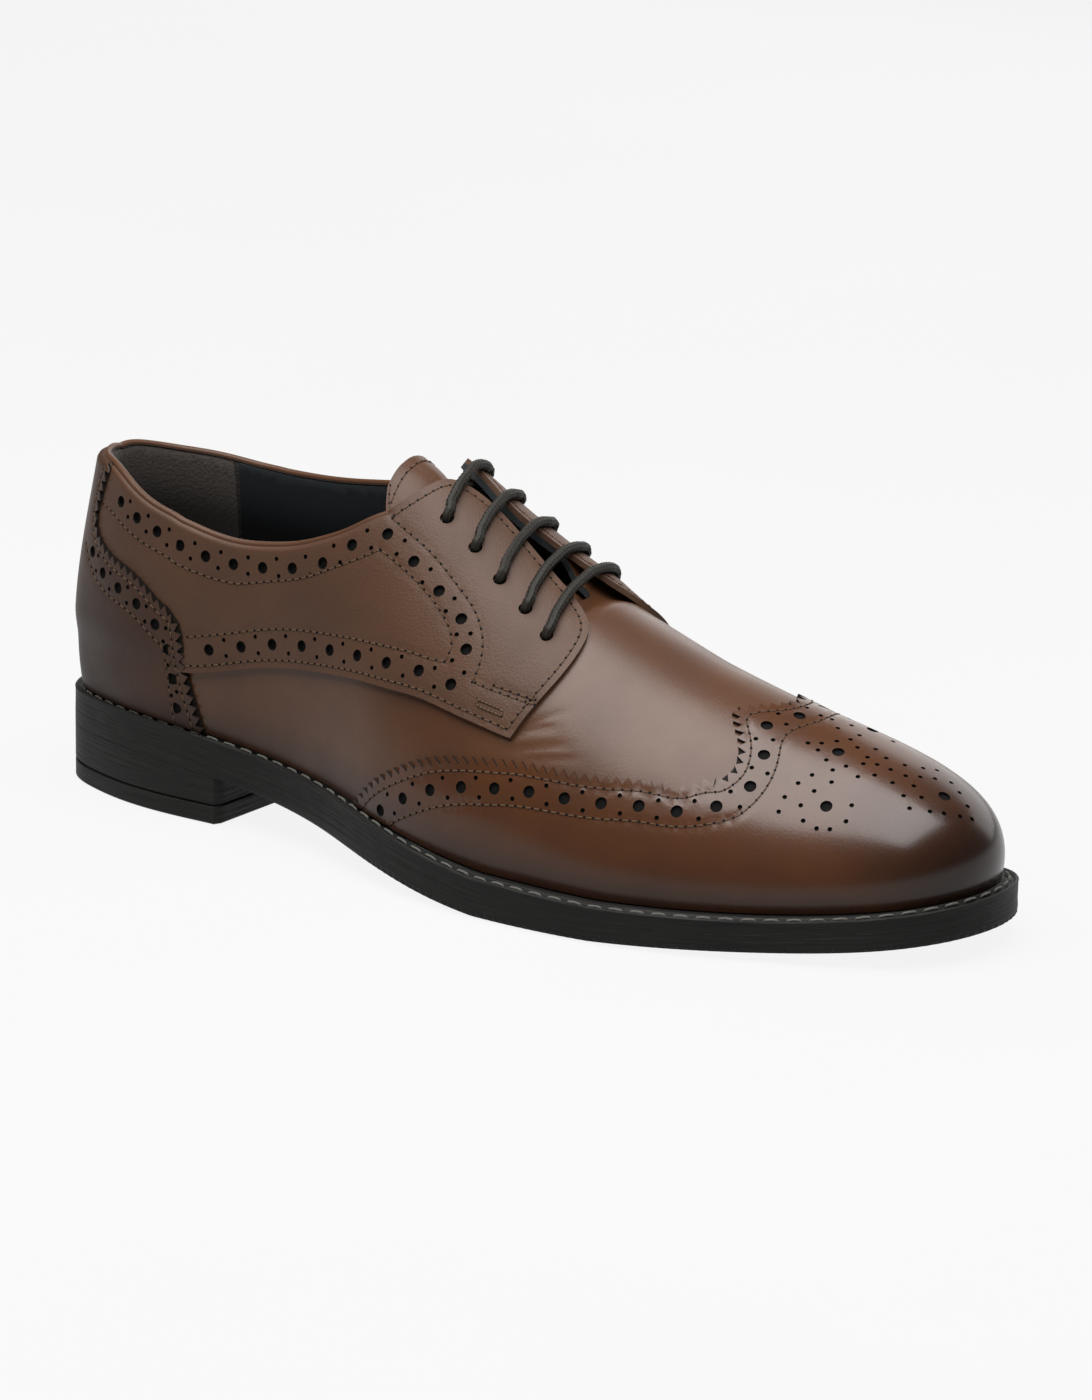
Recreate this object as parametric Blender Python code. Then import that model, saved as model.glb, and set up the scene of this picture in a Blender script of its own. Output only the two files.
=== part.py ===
"""A leather wing-tip derby shoe for the right foot, in metres: +X to the toe, +Y to the inner side, +Z up.

Every leather piece follows one surface, the last. Its sections stand on the feather line, where the
leather meets the welt. A place on it is written as (along, across): along is the share of the last's
length at which the section's foot stands, across is the share of the way from the crown down to the
feather line, negative on the outer (lateral) side and positive on the inner (medial) side.
"""
import math

import bmesh
import bpy
import numpy as np
from mathutils import Vector
from mathutils.geometry import delaunay_2d_cdt

# Driving sizes of the last
LAST_LENGTH = 0.298      # feather line, heel to toe
BALL_WIDTH = 0.089       # feather line across the ball, by which all widths go
INSTEP_HEIGHT = 0.0875   # crown above the feather line where the facings begin

# Sole and heel
HEEL_HEIGHT = 0.0165     # underside of the outsole above the ground at the back
LIFT_HEIGHT = 0.0055     # top lift, the heel's wearing layer
HEEL_LENGTH = 0.0700     # back of the heel to its breast
TOE_SPRING = 0.0072      # underside of the outsole above the ground at the toe
SOLE_THICKNESS = 0.0105  # welt and outsole together
WELT_THICKNESS = 0.0032
WELT_LEDGE = 0.0075      # welt beyond the feather line at the forefoot
WELT_TUCK = 0.0030       # welt under the upper
EDGE_CHAMFER = 0.0008
INSOLE_RISE = 0.0026     # insole above the feather line

# Leather
WALL = 0.0018            # lined upper
FACING = 0.0014          # quarter over the upper
CAP = 0.0012             # wing cap and heel counter over the upper
TONGUE_THICKNESS = 0.0022
SEAT = 0.0003            # between pieces that touch
HEM = 0.0010             # overlays end this far above the welt

# Lacing
LACE = 0.0030
EYELET_CLEARANCE = 0.0005
LACE_CLEARANCE = 0.0008
LACE_ROWS = [(0.451, 0.164), (0.486, 0.181), (0.519, 0.204), (0.552, 0.230), (0.581, 0.267)]
BEND = 0.75 * LACE                           # radius of a lace's turn into an eyelet
OVER = SEAT + FACING + LACE_CLEARANCE + LACE / 2    # height of a bar over the last's surface
UNDER = WALL + LACE_CLEARANCE + LACE / 2     # depth of a hidden lace under it
SIDESTEP = LACE + LACE_CLEARANCE             # a hidden lace passes an eyelet at this distance
TONGUE_TOP = WALL + 2 * SEAT                 # depth of the tongue right under the upper
TONGUE_DEPTH = UNDER + LACE / 2 + 2 * SEAT   # depth of the tongue under the laces

# Sampling
MESH_PITCH = 0.0108
EDGE_PITCH = 0.0068
RIM_STEPS = 72
PLATE_STEPS = 36
EYELET_SIDES = 10
SECTION_STEPS = 48

HEEL_PIVOT = 0.168       # sections fan out behind this share of the length
TOE_PIVOT = 0.812        # and beyond this one
HEEL_CENTRE = 0.02
TOE_CENTRE = 0.075

# Feather line: along, lateral and medial half width in ball widths
OUTLINE = np.array([
    (0.020, 0.130, 0.150), (0.050, 0.190, 0.235), (0.100, 0.250, 0.300), (0.178, 0.285, 0.330),
    (0.277, 0.300, 0.315), (0.366, 0.375, 0.300), (0.436, 0.465, 0.318), (0.515, 0.530, 0.377),
    (0.574, 0.547, 0.427), (0.634, 0.547, 0.455), (0.693, 0.533, 0.457), (0.772, 0.482, 0.422),
    (0.851, 0.385, 0.370), (0.912, 0.304, 0.327), (0.952, 0.237, 0.284), (0.981, 0.147, 0.224)])

# Sole from the side: along, shares of heel height, toe spring, thickness and ledge; crown line in ball widths
PROFILE = np.array([
    (0.000, 1.000, 0.00, 1.02, 0.50, 0.020),
    (0.100, 1.000, 0.00, 1.03, 0.47, 0.020),
    (0.178, 0.910, 0.00, 1.05, 0.44, 0.020),
    (0.277, 0.690, 0.00, 1.09, 0.40, 0.018),
    (0.366, 0.505, 0.00, 1.12, 0.41, 0.016),
    (0.436, 0.340, 0.00, 1.13, 0.50, 0.016),
    (0.515, 0.130, 0.00, 1.10, 0.71, 0.018),
    (0.604, -0.020, -0.01, 1.04, 0.94, 0.028),
    (0.683, 0.000, -0.03, 0.96, 1.02, 0.050),
    (0.772, 0.000, 0.14, 0.89, 1.00, 0.080),
    (0.851, 0.000, 0.30, 0.86, 0.98, 0.094),
    (0.932, 0.000, 0.60, 0.89, 0.90, 0.087),
    (1.000, 0.000, 1.00, 0.93, 0.72, 0.070)])

# Sections: along, then swell, rise and shoulder of the lateral side, then the same of the medial side
SIDES = np.array([
    (0.000, 0.052, 0.295, 0.900, 0.052, 0.295, 0.900),
    (0.100, 0.066, 0.302, 0.965, 0.050, 0.298, 0.930),
    (0.178, 0.048, 0.322, 0.955, 0.024, 0.320, 0.935),
    (0.277, 0.025, 0.345, 0.910, -0.009, 0.342, 0.910),
    (0.366, 0.011, 0.389, 0.745, -0.030, 0.388, 0.750),
    (0.436, 0.011, 0.387, 0.600, -0.020, 0.410, 0.600),
    (0.515, 0.022, 0.321, 0.600, 0.010, 0.385, 0.615),
    (0.604, 0.034, 0.284, 0.600, 0.034, 0.370, 0.650),
    (0.683, 0.034, 0.252, 0.580, 0.034, 0.303, 0.580),
    (0.772, 0.034, 0.227, 0.578, 0.033, 0.225, 0.510),
    (0.851, 0.036, 0.215, 0.558, 0.034, 0.225, 0.540),
    (0.932, 0.046, 0.230, 0.575, 0.046, 0.250, 0.580),
    (1.000, 0.066, 0.290, 0.600, 0.066, 0.290, 0.600)])

# Crown: along, height and droop in instep heights, mouth in half widths (0 where the crown is closed)
CROWN = np.array([
    (0.000, 0.900, -0.290, 0.825),
    (0.100, 0.920, -0.278, 0.855),
    (0.178, 0.955, -0.282, 0.806),
    (0.277, 1.033, -0.226, 0.638),
    (0.366, 1.044, -0.080, 0.240),
    (0.436, 1.000, 0.000, 0.000),
    (0.515, 0.878, 0.000, 0.000),
    (0.604, 0.747, 0.000, 0.000),
    (0.683, 0.648, 0.000, 0.000),
    (0.772, 0.553, 0.000, 0.000),
    (0.851, 0.460, 0.000, 0.000),
    (0.932, 0.330, 0.000, 0.000),
    (1.000, 0.205, 0.000, 0.000)])

# Edges of the leather: along, across
COLLAR_LATERAL = [(0.000, 0.114), (0.022, 0.116), (0.045, 0.127), (0.067, 0.150), (0.093, 0.190), (0.130, 0.242),
                  (0.173, 0.289), (0.207, 0.321), (0.239, 0.338), (0.270, 0.336), (0.303, 0.321), (0.333, 0.293),
                  (0.362, 0.257), (0.386, 0.216), (0.397, 0.200)]
COLLAR_MEDIAL = [(0.000, 0.114), (0.045, 0.150), (0.090, 0.180), (0.135, 0.208), (0.180, 0.226), (0.225, 0.236),
                 (0.265, 0.232), (0.303, 0.216), (0.333, 0.200), (0.362, 0.190), (0.386, 0.190), (0.397, 0.190)]
FACING_TOP = {-1: [(0.408, 0.160), (0.420, 0.105), (0.433, 0.050)], 1: [(0.403, 0.150), (0.409, 0.100), (0.415, 0.052)]}
THROAT = [(0.449, 0.038), (0.473, 0.034), (0.513, 0.042), (0.556, 0.073), (0.590, 0.118)]
THROAT_END = [(0.571, 0.060), (0.576, 0.030)]
FRONT_EDGE = [(0.608, 0.174), (0.614, 0.251), (0.612, 0.354), (0.599, 0.495), (0.588, 0.595)]
QUARTER_BOTTOM = [(0.559, 0.597), (0.532, 0.603), (0.489, 0.619), (0.444, 0.648), (0.395, 0.662), (0.343, 0.677),
                  (0.295, 0.700), (0.235, 0.751), (0.190, 0.791)]
COUNTER_EDGE = [(0.200, 1.000), (0.188, 0.864), (0.182, 0.782), (0.179, 0.679), (0.173, 0.624), (0.157, 0.577),
                (0.133, 0.519), (0.102, 0.470), (0.066, 0.418), (0.048, 0.356), (0.048, 0.263), (0.056, 0.145)]
WING_EDGE = [(0.408, 1.000), (0.428, 0.930), (0.463, 0.845), (0.513, 0.747), (0.561, 0.687), (0.601, 0.655),
             (0.643, 0.637), (0.683, 0.615), (0.734, 0.585), (0.765, 0.558), (0.780, 0.520)]

# The cap's centre line, then its two scallops and its point beside it: along, distance in ball widths
CAP_CENTRE = -0.188
SCALLOP = [(0.780, 0.264), (0.790, 0.219), (0.791, 0.163), (0.785, 0.112), (0.771, 0.054)]
CAP_POINT = 0.760

# Tongue: along, depth from 0 at its top to 1 under the laces, half width in ball widths
TONGUE = np.array([
    (0.383, 0.02, 0.213), (0.388, 0.07, 0.270), (0.400, 0.17, 0.298), (0.415, 0.46, 0.315), (0.432, 0.90, 0.326),
    (0.450, 1.00, 0.337), (0.500, 1.00, 0.337), (0.550, 1.00, 0.315), (0.596, 1.00, 0.281), (0.615, 0.60, 0.247),
    (0.635, 0.07, 0.202)])


def spline(stations, values):
    """Natural cubic spline through the columns of a table."""
    count = len(stations)
    gap = np.diff(stations)
    system, right = np.zeros((count, count)), np.zeros(values.shape)
    system[0, 0] = system[-1, -1] = 1.0
    for i in range(1, count - 1):
        system[i, i - 1:i + 2] = gap[i - 1], 2 * (gap[i - 1] + gap[i]), gap[i]
        right[i] = 6 * ((values[i + 1] - values[i]) / gap[i] - (values[i] - values[i - 1]) / gap[i - 1])
    bend = np.linalg.solve(system, right)

    def at(place):
        place = np.asarray(place, float)
        i = np.clip(np.searchsorted(stations, place) - 1, 0, count - 2)
        after, before, width = (place - stations[i])[..., None], (stations[i + 1] - place)[..., None], gap[i][..., None]
        return ((bend[i] * before ** 3 + bend[i + 1] * after ** 3) / (6 * width)
                + (values[i] / width - bend[i] * width / 6) * before
                + (values[i + 1] / width - bend[i + 1] * width / 6) * after)
    return at


def spaced(points, closed=False):
    """Smooth curve through points, with its parameter from 0 to 1."""
    points = np.asarray(points, float)
    ring = np.vstack([points[-4:], points, points[:5]]) if closed else points
    run = np.concatenate([[0], np.cumsum(np.linalg.norm(np.diff(ring, axis=0), axis=1))])
    curve = spline(run, ring)
    start, end = (run[4], run[4 + len(points)]) if closed else (0, run[-1])
    wrap = (lambda t: np.asarray(t) % 1.0) if closed else np.asarray
    return lambda t: curve(start + wrap(t) * (end - start)), end - start


def feather_points():
    lateral = [(along, -width) for along, width, _ in OUTLINE]
    medial = [(along, width) for along, _, width in OUTLINE[::-1]]
    return np.array([(0, HEEL_CENTRE)] + lateral + [(1, TOE_CENTRE)] + medial) * (LAST_LENGTH, BALL_WIDTH)


feather, feather_length = spaced(feather_points(), closed=True)
profile = spline(PROFILE[:, 0], PROFILE[:, 1:])
sides = spline(SIDES[:, 0], SIDES[:, 1:])
crown = spline(CROWN[:, 0], CROWN[:, 1:])


def share(x):
    return np.clip(np.asarray(x, float) / LAST_LENGTH, -0.05, 1.05)


def sole_bottom(x):
    """Underside of the outsole, flat on the ground under the ball."""
    part = profile(share(x))
    return np.maximum(HEEL_HEIGHT * part[..., 0] + TOE_SPRING * part[..., 1], 0.0)


def feather_height(x):
    return sole_bottom(x) + SOLE_THICKNESS * profile(share(x))[..., 2]


def ledge(x):
    return WELT_LEDGE * profile(share(x))[..., 3]


def crown_line(x):
    return BALL_WIDTH * profile(share(x))[..., 4]


def crown_height(x):
    return feather_height(x) + INSTEP_HEIGHT * crown(share(x))[..., 0]


def rim(turn, out):
    """The feather line moved outwards."""
    step = 1e-4
    along = feather(turn + step) - feather(turn - step)
    along /= np.linalg.norm(along, axis=1, keepdims=True)
    return feather(turn) + np.asarray(out)[..., None] * np.stack([along[:, 1], -along[:, 0]], -1)


turns = np.linspace(0, 1, 4001)[:-1]
feet = feather(turns)
sole_edge = rim(turns, ledge(feet[:, 0]))
centre = (sole_edge.min(axis=0) + sole_edge.max(axis=0)) / 2
toe_turn = turns[np.argmax(feet[:, 0])]
heel_x, toe_x = HEEL_PIVOT * LAST_LENGTH, TOE_PIVOT * LAST_LENGTH


def section(turn):
    """Section through the feather line at turn: control points (reach, height), pivot and direction."""
    foot = feather(turn)
    x = foot[..., 0]
    pivot = np.clip(x, heel_x, toe_x)
    across = foot[..., 1] - crown_line(x)
    reach = np.hypot(x - pivot, across)
    way = np.stack([(x - pivot) / reach, across / reach], -1)
    side = sides(share(x))
    lateral = (np.asarray(turn) % 1.0 < toe_turn)[..., None]
    swell, rise, shoulder = np.moveaxis(np.where(lateral, side[..., :3], side[..., 3:]), -1, 0)
    _, droop, mouth = np.moveaxis(crown(share(x)), -1, 0)
    top = crown_height(np.minimum(x, toe_x))
    step = 0.0005
    slope = (crown_height(toe_x + step) - crown_height(toe_x - step)) / (2 * step)
    tilt = np.where(x > toe_x, slope * way[..., 0] * shoulder * reach, 0)
    base = feather_height(x)
    reaches = np.stack([reach, reach + swell * BALL_WIDTH, shoulder * reach, mouth * reach], -1)
    heights = np.stack([base, base + rise * INSTEP_HEIGHT, top + droop * INSTEP_HEIGHT + tilt, top], -1)
    return reaches, heights, pivot, way


def bezier(points, t):
    return (points[..., 0] * (1 - t) ** 3 + points[..., 1] * 3 * t * (1 - t) ** 2
            + points[..., 2] * 3 * t * t * (1 - t) + points[..., 3] * t ** 3)


def girth(reaches, heights):
    """Distance down the section from its crown, at even steps from the crown to the feather line."""
    t = np.linspace(1, 0, SECTION_STEPS + 1)
    run = np.hypot(np.diff(bezier(reaches[..., None, :], t)), np.diff(bezier(heights[..., None, :], t)))
    return np.concatenate([np.zeros(run.shape[:-1] + (1,)), np.cumsum(run, -1)], -1)


lateral_side = (turns < toe_turn) & (turns < 0.98)
lateral_side[0] = True
medial_side = ~lateral_side


def turn_at(x, is_lateral):
    """Where the feather line passes x on one side."""
    x = np.asarray(x, float)
    lateral = np.interp(x, feet[lateral_side, 0], turns[lateral_side])
    medial = np.interp(x, feet[medial_side, 0][::-1], turns[medial_side][::-1])
    return np.where(is_lateral, lateral, medial)


def flat(along, across):
    """A place on the leather, laid out flat: each section is unrolled from the crown line."""
    turn = turn_at(np.asarray(along, float) * LAST_LENGTH, np.asarray(across) < 0)
    reaches, heights, pivot, way = section(turn)
    out = reaches[..., 3] + np.abs(across) * girth(reaches, heights)[..., -1]
    return np.stack([pivot + out * way[..., 0], out * way[..., 1]], -1)


def fan_turns(pivot_x, first, last):
    """Directions from a pivot to the feather line, as rising angles, with their turns."""
    turn = np.linspace(first, last, 1201)
    foot = feather(turn)
    angle = np.unwrap(np.arctan2(foot[:, 1] - crown_line(foot[:, 0]), foot[:, 0] - pivot_x))
    return angle, turn


toe_fan = fan_turns(toe_x, float(turn_at(toe_x, True)), float(turn_at(toe_x, False)))
heel_fan = fan_turns(heel_x, float(turn_at(heel_x, False)), float(turn_at(heel_x, True)) + 1)


def turn_of(flat_points):
    u, v = flat_points[..., 0], flat_points[..., 1]
    turn = turn_at(np.clip(u, heel_x, toe_x), v < 0)
    toe = np.interp(np.arctan2(v, u - toe_x), *toe_fan)
    angle = np.arctan2(v, u - heel_x)
    heel = np.interp(np.where(angle < 0, angle + 2 * math.pi, angle), *heel_fan)
    return np.where(u > toe_x, toe, np.where(u < heel_x, heel, turn)) % 1.0


def on_last(flat_points):
    """The last's surface at flat points."""
    flat_points = np.asarray(flat_points, float)
    reaches, heights, pivot, way = section(turn_of(flat_points))
    down = np.hypot(flat_points[..., 0] - pivot, flat_points[..., 1]) - reaches[..., 3]
    run = girth(reaches, heights)
    step = (run < down[..., None]).sum(-1).clip(1, SECTION_STEPS)
    low = np.take_along_axis(run, (step - 1)[..., None], -1)[..., 0]
    high = np.take_along_axis(run, step[..., None], -1)[..., 0]
    t = 1 - (step - 1 + (down - low) / (high - low)) / SECTION_STEPS
    t = np.clip(t, -0.02, 1)
    reach = bezier(reaches, t)
    x = pivot + reach * way[..., 0]
    return np.stack([x, reach * way[..., 1] + crown_line(x), bezier(heights, t)], -1)


def lifted(flat_points, height):
    """The last's surface at flat points, raised by height along its normal."""
    flat_points = np.asarray(flat_points, float)
    step = 0.0004
    right = on_last(flat_points + (step, 0)) - on_last(flat_points - (step, 0))
    left = on_last(flat_points + (0, step)) - on_last(flat_points - (0, step))
    normal = np.cross(right, left)
    normal /= np.linalg.norm(normal, axis=-1, keepdims=True)
    return on_last(flat_points) + normal * np.asarray(height)[..., None]


def path(places, sign=-1):
    """Flat curve through (along, across) places on one side, at the edge pitch."""
    places = np.array(places)
    curve, length = spaced(flat(places[:, 0], sign * places[:, 1]))
    return curve(np.linspace(0, 1, max(2, round(length / EDGE_PITCH) + 1)))


def feather_edge(first, last, rise):
    """Flat curve just above the feather line, between two turns."""
    turn = np.linspace(first, last, max(2, round(abs(last - first) * feather_length / EDGE_PITCH)))
    reaches, heights, pivot, way = section(turn)
    out = reaches[..., 3] + girth(reaches, heights)[..., -1] - rise
    return np.stack([pivot + out * way[..., 0], out * way[..., 1]], -1)


def chain(*pieces):
    """One loop of flat curves, without the points that meet."""
    points = np.vstack(pieces)
    keep = np.linalg.norm(points - np.roll(points, 1, axis=0), axis=1) > 0.2 * EDGE_PITCH
    return points[keep]


def inset(loop, distance):
    """A loop moved inwards by distance, for the clearance beside a neighbour."""
    before, after = np.roll(loop, 1, axis=0), np.roll(loop, -1, axis=0)
    along = (after - before) / np.linalg.norm(after - before, axis=1, keepdims=True)
    area = np.sum(loop[:, 0] * after[:, 1] - loop[:, 1] * after[:, 0])
    return loop + math.copysign(distance, area) * np.stack([-along[:, 1], along[:, 0]], -1)


def inside(loop, points):
    x, y = points[:, 0], points[:, 1]
    hit = np.zeros(len(points), bool)
    for (x1, y1), (x2, y2) in zip(loop, np.roll(loop, -1, axis=0)):
        crosses = (y1 > y) != (y2 > y)
        hit ^= crosses & (x < (x2 - x1) * (y - y1) / np.where(crosses, y2 - y1, 1) + x1)
    return hit


def round_loop(middle, radius, count):
    """Round hole in the leather about a flat point, laid out flat."""
    step = 0.0005
    right = (on_last(middle + (step, 0)) - on_last(middle - (step, 0))) / (2 * step)
    left = (on_last(middle + (0, step)) - on_last(middle - (0, step))) / (2 * step)
    stretch, ways = np.linalg.eigh([[right @ right, right @ left], [right @ left, left @ left]])
    turn = np.arange(count) * math.tau / count
    circle = radius * np.stack([np.cos(turn), np.sin(turn)])
    return middle + (ways @ (ways.T @ circle / np.sqrt(stretch)[:, None])).T


def cut_lines():
    """The flat loops of the upper and of everything sewn on it."""
    opening = chain(path(COLLAR_LATERAL + FACING_TOP[-1] + THROAT[:-1] + THROAT_END),
                    path(COLLAR_MEDIAL + FACING_TOP[1] + THROAT[:-1] + THROAT_END, 1)[::-1])
    quarters = {}
    for side, sign, collar in (("lateral", -1, COLLAR_LATERAL), ("medial", 1, COLLAR_MEDIAL)):
        back = path([place for place in COUNTER_EDGE if place[1] < 0.82], sign)
        front = path(FACING_TOP[sign][-1:] + THROAT + FRONT_EDGE, sign)
        collar_line = path([COUNTER_EDGE[-1]] + [place for place in collar if place[0] > 0.06]
                           + FACING_TOP[sign], sign)
        loop = chain(collar_line, front, path(FRONT_EDGE[-1:] + QUARTER_BOTTOM, sign), back)
        quarters[side] = inset(loop, 0.75 * SEAT)
    lateral_edge, medial_edge = path(COUNTER_EDGE, -1), path(COUNTER_EDGE, 1)
    breast = COUNTER_EDGE[0][0] * LAST_LENGTH
    seat = feather_edge(float(turn_at(breast, False)), float(turn_at(breast, True)) + 1, HEM)
    strip = [place for place in COLLAR_LATERAL if place[0] < 0.05]
    strip_medial = [place for place in COLLAR_MEDIAL if place[0] < 0.05]
    counter = chain(lateral_edge[1:], path(strip)[::-1], path(strip_medial, 1), medial_edge[::-1][:-1], seat[1:-1])
    waist = WING_EDGE[0][0] * LAST_LENGTH
    toe = feather_edge(float(turn_at(waist, True)), float(turn_at(waist, False)), HEM)
    wing = []
    for sign in (-1, 1):
        run = flat(*np.array([(along, sign * across) for along, across in WING_EDGE]).T)
        scallop = np.array([(along, CAP_CENTRE + sign * out) for along, out in SCALLOP])
        point = np.array([(CAP_POINT, CAP_CENTRE)])
        curve, length = spaced(np.vstack([run, np.vstack([scallop, point]) * (LAST_LENGTH, BALL_WIDTH)]))
        wing.append(curve(np.linspace(0, 1, round(1.4 * length / EDGE_PITCH))))
    cap = chain(wing[0][1:], wing[1][::-1][:-1], toe[::-1][1:-1])
    base = feather_edge(0, 1 - 1 / RIM_STEPS, 1.5 * SEAT)
    return base, opening, quarters, inset(counter, 0.75 * SEAT), cap


def triangulated(loops):
    """Triangles of the flat plane, with an even grid of points and every loop as edges."""
    low, high = loops[0].min(axis=0), loops[0].max(axis=0)
    rows = np.arange(low[1], high[1], MESH_PITCH * math.sqrt(3) / 2)
    columns = np.arange(low[0], high[0], MESH_PITCH)
    grid = np.array([(x + (k % 2) * MESH_PITCH / 2, y) for k, y in enumerate(rows) for x in columns])
    borders = np.vstack(loops)
    near = np.min(np.linalg.norm(grid[:, None] - borders[None], axis=2), axis=1)
    grid = grid[near > 0.55 * MESH_PITCH]
    points, edges = [], []
    for loop in loops:
        start = len(points)
        points += [tuple(point) for point in loop]
        edges += [(start + i, start + (i + 1) % len(loop)) for i in range(len(loop))]
    points += [tuple(point) for point in grid]
    scale = 1000.0
    found = delaunay_2d_cdt([Vector(point) * scale for point in points], edges, [], 0, 1e-4)
    return np.array([tuple(point) for point in found[0]]) / scale, np.array([tuple(face) for face in found[2]])


def sheet(name, points, faces, low, high, material):
    """Closed solid between two heights over a flat triangulation."""
    used, faces = np.unique(faces, return_inverse=True)
    faces = faces.reshape(-1, 3)
    points = points[used]
    count = len(points)
    edges = {}
    for a, b, c in faces:
        for edge in ((a, b), (b, c), (c, a)):
            edges[edge] = edges.get((edge[1], edge[0]), 0) + 1
            if (edge[1], edge[0]) in edges:
                del edges[edge], edges[(edge[1], edge[0])]
    vertices = np.vstack([lifted(points, np.full(count, high)), lifted(points, np.full(count, low))])
    polygons = [tuple(face) for face in faces] + [tuple(face[::-1] + count) for face in faces]
    for a, b in edges:
        polygons += [(b, a, a + count), (b, a + count, b + count)]
    return solid(name, vertices, polygons, material)


def solid(name, vertices, polygons, material):
    mesh = bpy.data.meshes.new(name)
    shift = Vector((centre[0], centre[1], 0))
    mesh.from_pydata([Vector(vertex) - shift for vertex in np.asarray(vertices, float)], [], polygons)
    body = bmesh.new()
    body.from_mesh(mesh)
    bmesh.ops.recalc_face_normals(body, faces=body.faces)
    body.to_mesh(mesh)
    body.free()
    mesh.materials.append(material)
    mesh.shade_smooth()
    mesh.set_sharp_from_angle(angle=math.radians(35))
    thing = bpy.data.objects.new(name, mesh)
    bpy.context.scene.collection.objects.link(thing)
    return thing


def finish(name, colour, roughness, metallic=0.0):
    material = bpy.data.materials.new(name)
    material.use_nodes = True
    shader = material.node_tree.nodes["Principled BSDF"]
    shader.inputs["Base Color"].default_value = (*colour, 1.0)
    shader.inputs["Roughness"].default_value = roughness
    shader.inputs["Metallic"].default_value = metallic
    return material


def plate(name, out, bottom, top, material, breast=None, chamfer=0.0):
    """Solid with the sole's outline, cut straight at breast, between two heights that follow x."""
    edge = rim(turns, out(feet[:, 0]))
    first, last = edge[:, 0].min(), breast if breast else edge[:, 0].max()
    start, end = int(np.argmin(edge[:, 0])), int(np.argmax(edge[:, 0]))
    ring = np.roll(edge, -start, axis=0)
    split = (end - start) % len(ring)
    lateral, medial = ring[:split + 1], np.vstack([ring[split:], ring[:1]])[::-1]
    rounded = math.pi if breast is None else math.pi / 2
    fraction = (1 - np.cos(np.linspace(0, rounded, PLATE_STEPS + 1))) / (1 - math.cos(rounded))
    x = first + (last - first) * fraction
    inner = slice(1, None) if breast else slice(1, -1)
    loop_x = np.concatenate([x[:1], x[inner], x[-1:] if breast is None else [], x[inner][::-1]])
    y1, y2 = np.interp(x, *lateral.T), np.interp(x, *medial.T)
    tip = [y1[-1]] if breast is None else []
    loop_y = np.concatenate([y1[:1], y1[inner], tip, y2[inner][::-1]])
    loop = np.stack([loop_x, loop_y], -1)
    rings = [(0.0, bottom, 0.0)] if not chamfer else [(chamfer, bottom, 0.0), (0.0, bottom, chamfer)]
    rings += [(0.0, top, 0.0)]
    vertices = []
    for inward, height, raised in rings:
        corner = inset(loop, inward) if inward else loop
        vertices += [(px, py, height(px) + raised) for px, py in corner]
    count, levels = len(loop), len(rings)
    polygons = []
    for level in range(levels - 1):
        for i in range(count):
            j = (i + 1) % count
            a, b, c, d = level * count + i, level * count + j, (level + 1) * count + j, (level + 1) * count + i
            polygons += [(a, b, c), (a, c, d)]
    half = len(x[inner])
    for base in (0, (levels - 1) * count):
        lower = [base + i for i in range(1, half + 1)]
        upper = [base + count - i for i in range(1, half + 1)]
        polygons.append((base, upper[0], lower[0]))
        for i in range(half - 1):
            polygons += [(lower[i], upper[i], upper[i + 1]), (lower[i], upper[i + 1], lower[i + 1])]
        if breast is None:
            polygons.append((lower[-1], upper[-1], base + half + 1))
    return solid(name, vertices, polygons, material)


def welt(material):
    turn = np.arange(RIM_STEPS) / RIM_STEPS
    outer = rim(turn, ledge(feather(turn)[:, 0]))
    inner = rim(turn, np.full(RIM_STEPS, -WELT_TUCK))
    corners = [(outer, 0.0), (outer, -WELT_THICKNESS), (inner, -WELT_THICKNESS), (inner, 0.0)]
    vertices = [(x, y, feather_height(x) + drop) for ring, drop in corners for x, y in ring]
    polygons = []
    for k in range(4):
        for i in range(RIM_STEPS):
            j = (i + 1) % RIM_STEPS
            a, b = k * RIM_STEPS + i, k * RIM_STEPS + j
            c, d = ((k + 1) % 4) * RIM_STEPS + j, ((k + 1) % 4) * RIM_STEPS + i
            polygons += [(a, b, c), (a, c, d)]
    return solid("welt", vertices, polygons, material)


def crown_point(u, v, depth):
    """A point under the crown, bridged where the last's mouth is open."""
    mouth = [section(turn_at(u, is_lateral))[0][3] for is_lateral in (True, False)]
    if -mouth[0] < v < mouth[1]:
        left = lifted(np.array((u, -mouth[0] - 1e-4)), np.array(-depth))
        right = lifted(np.array((u, mouth[1] + 1e-4)), np.array(-depth))
        part = (v + mouth[0]) / (mouth[0] + mouth[1])
        bulge = 0.35 * (mouth[0] + mouth[1]) * part * (1 - part)
        return left * (1 - part) + right * part + (0, 0, bulge)
    return lifted(np.array((u, v)), np.array(-depth))


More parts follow.
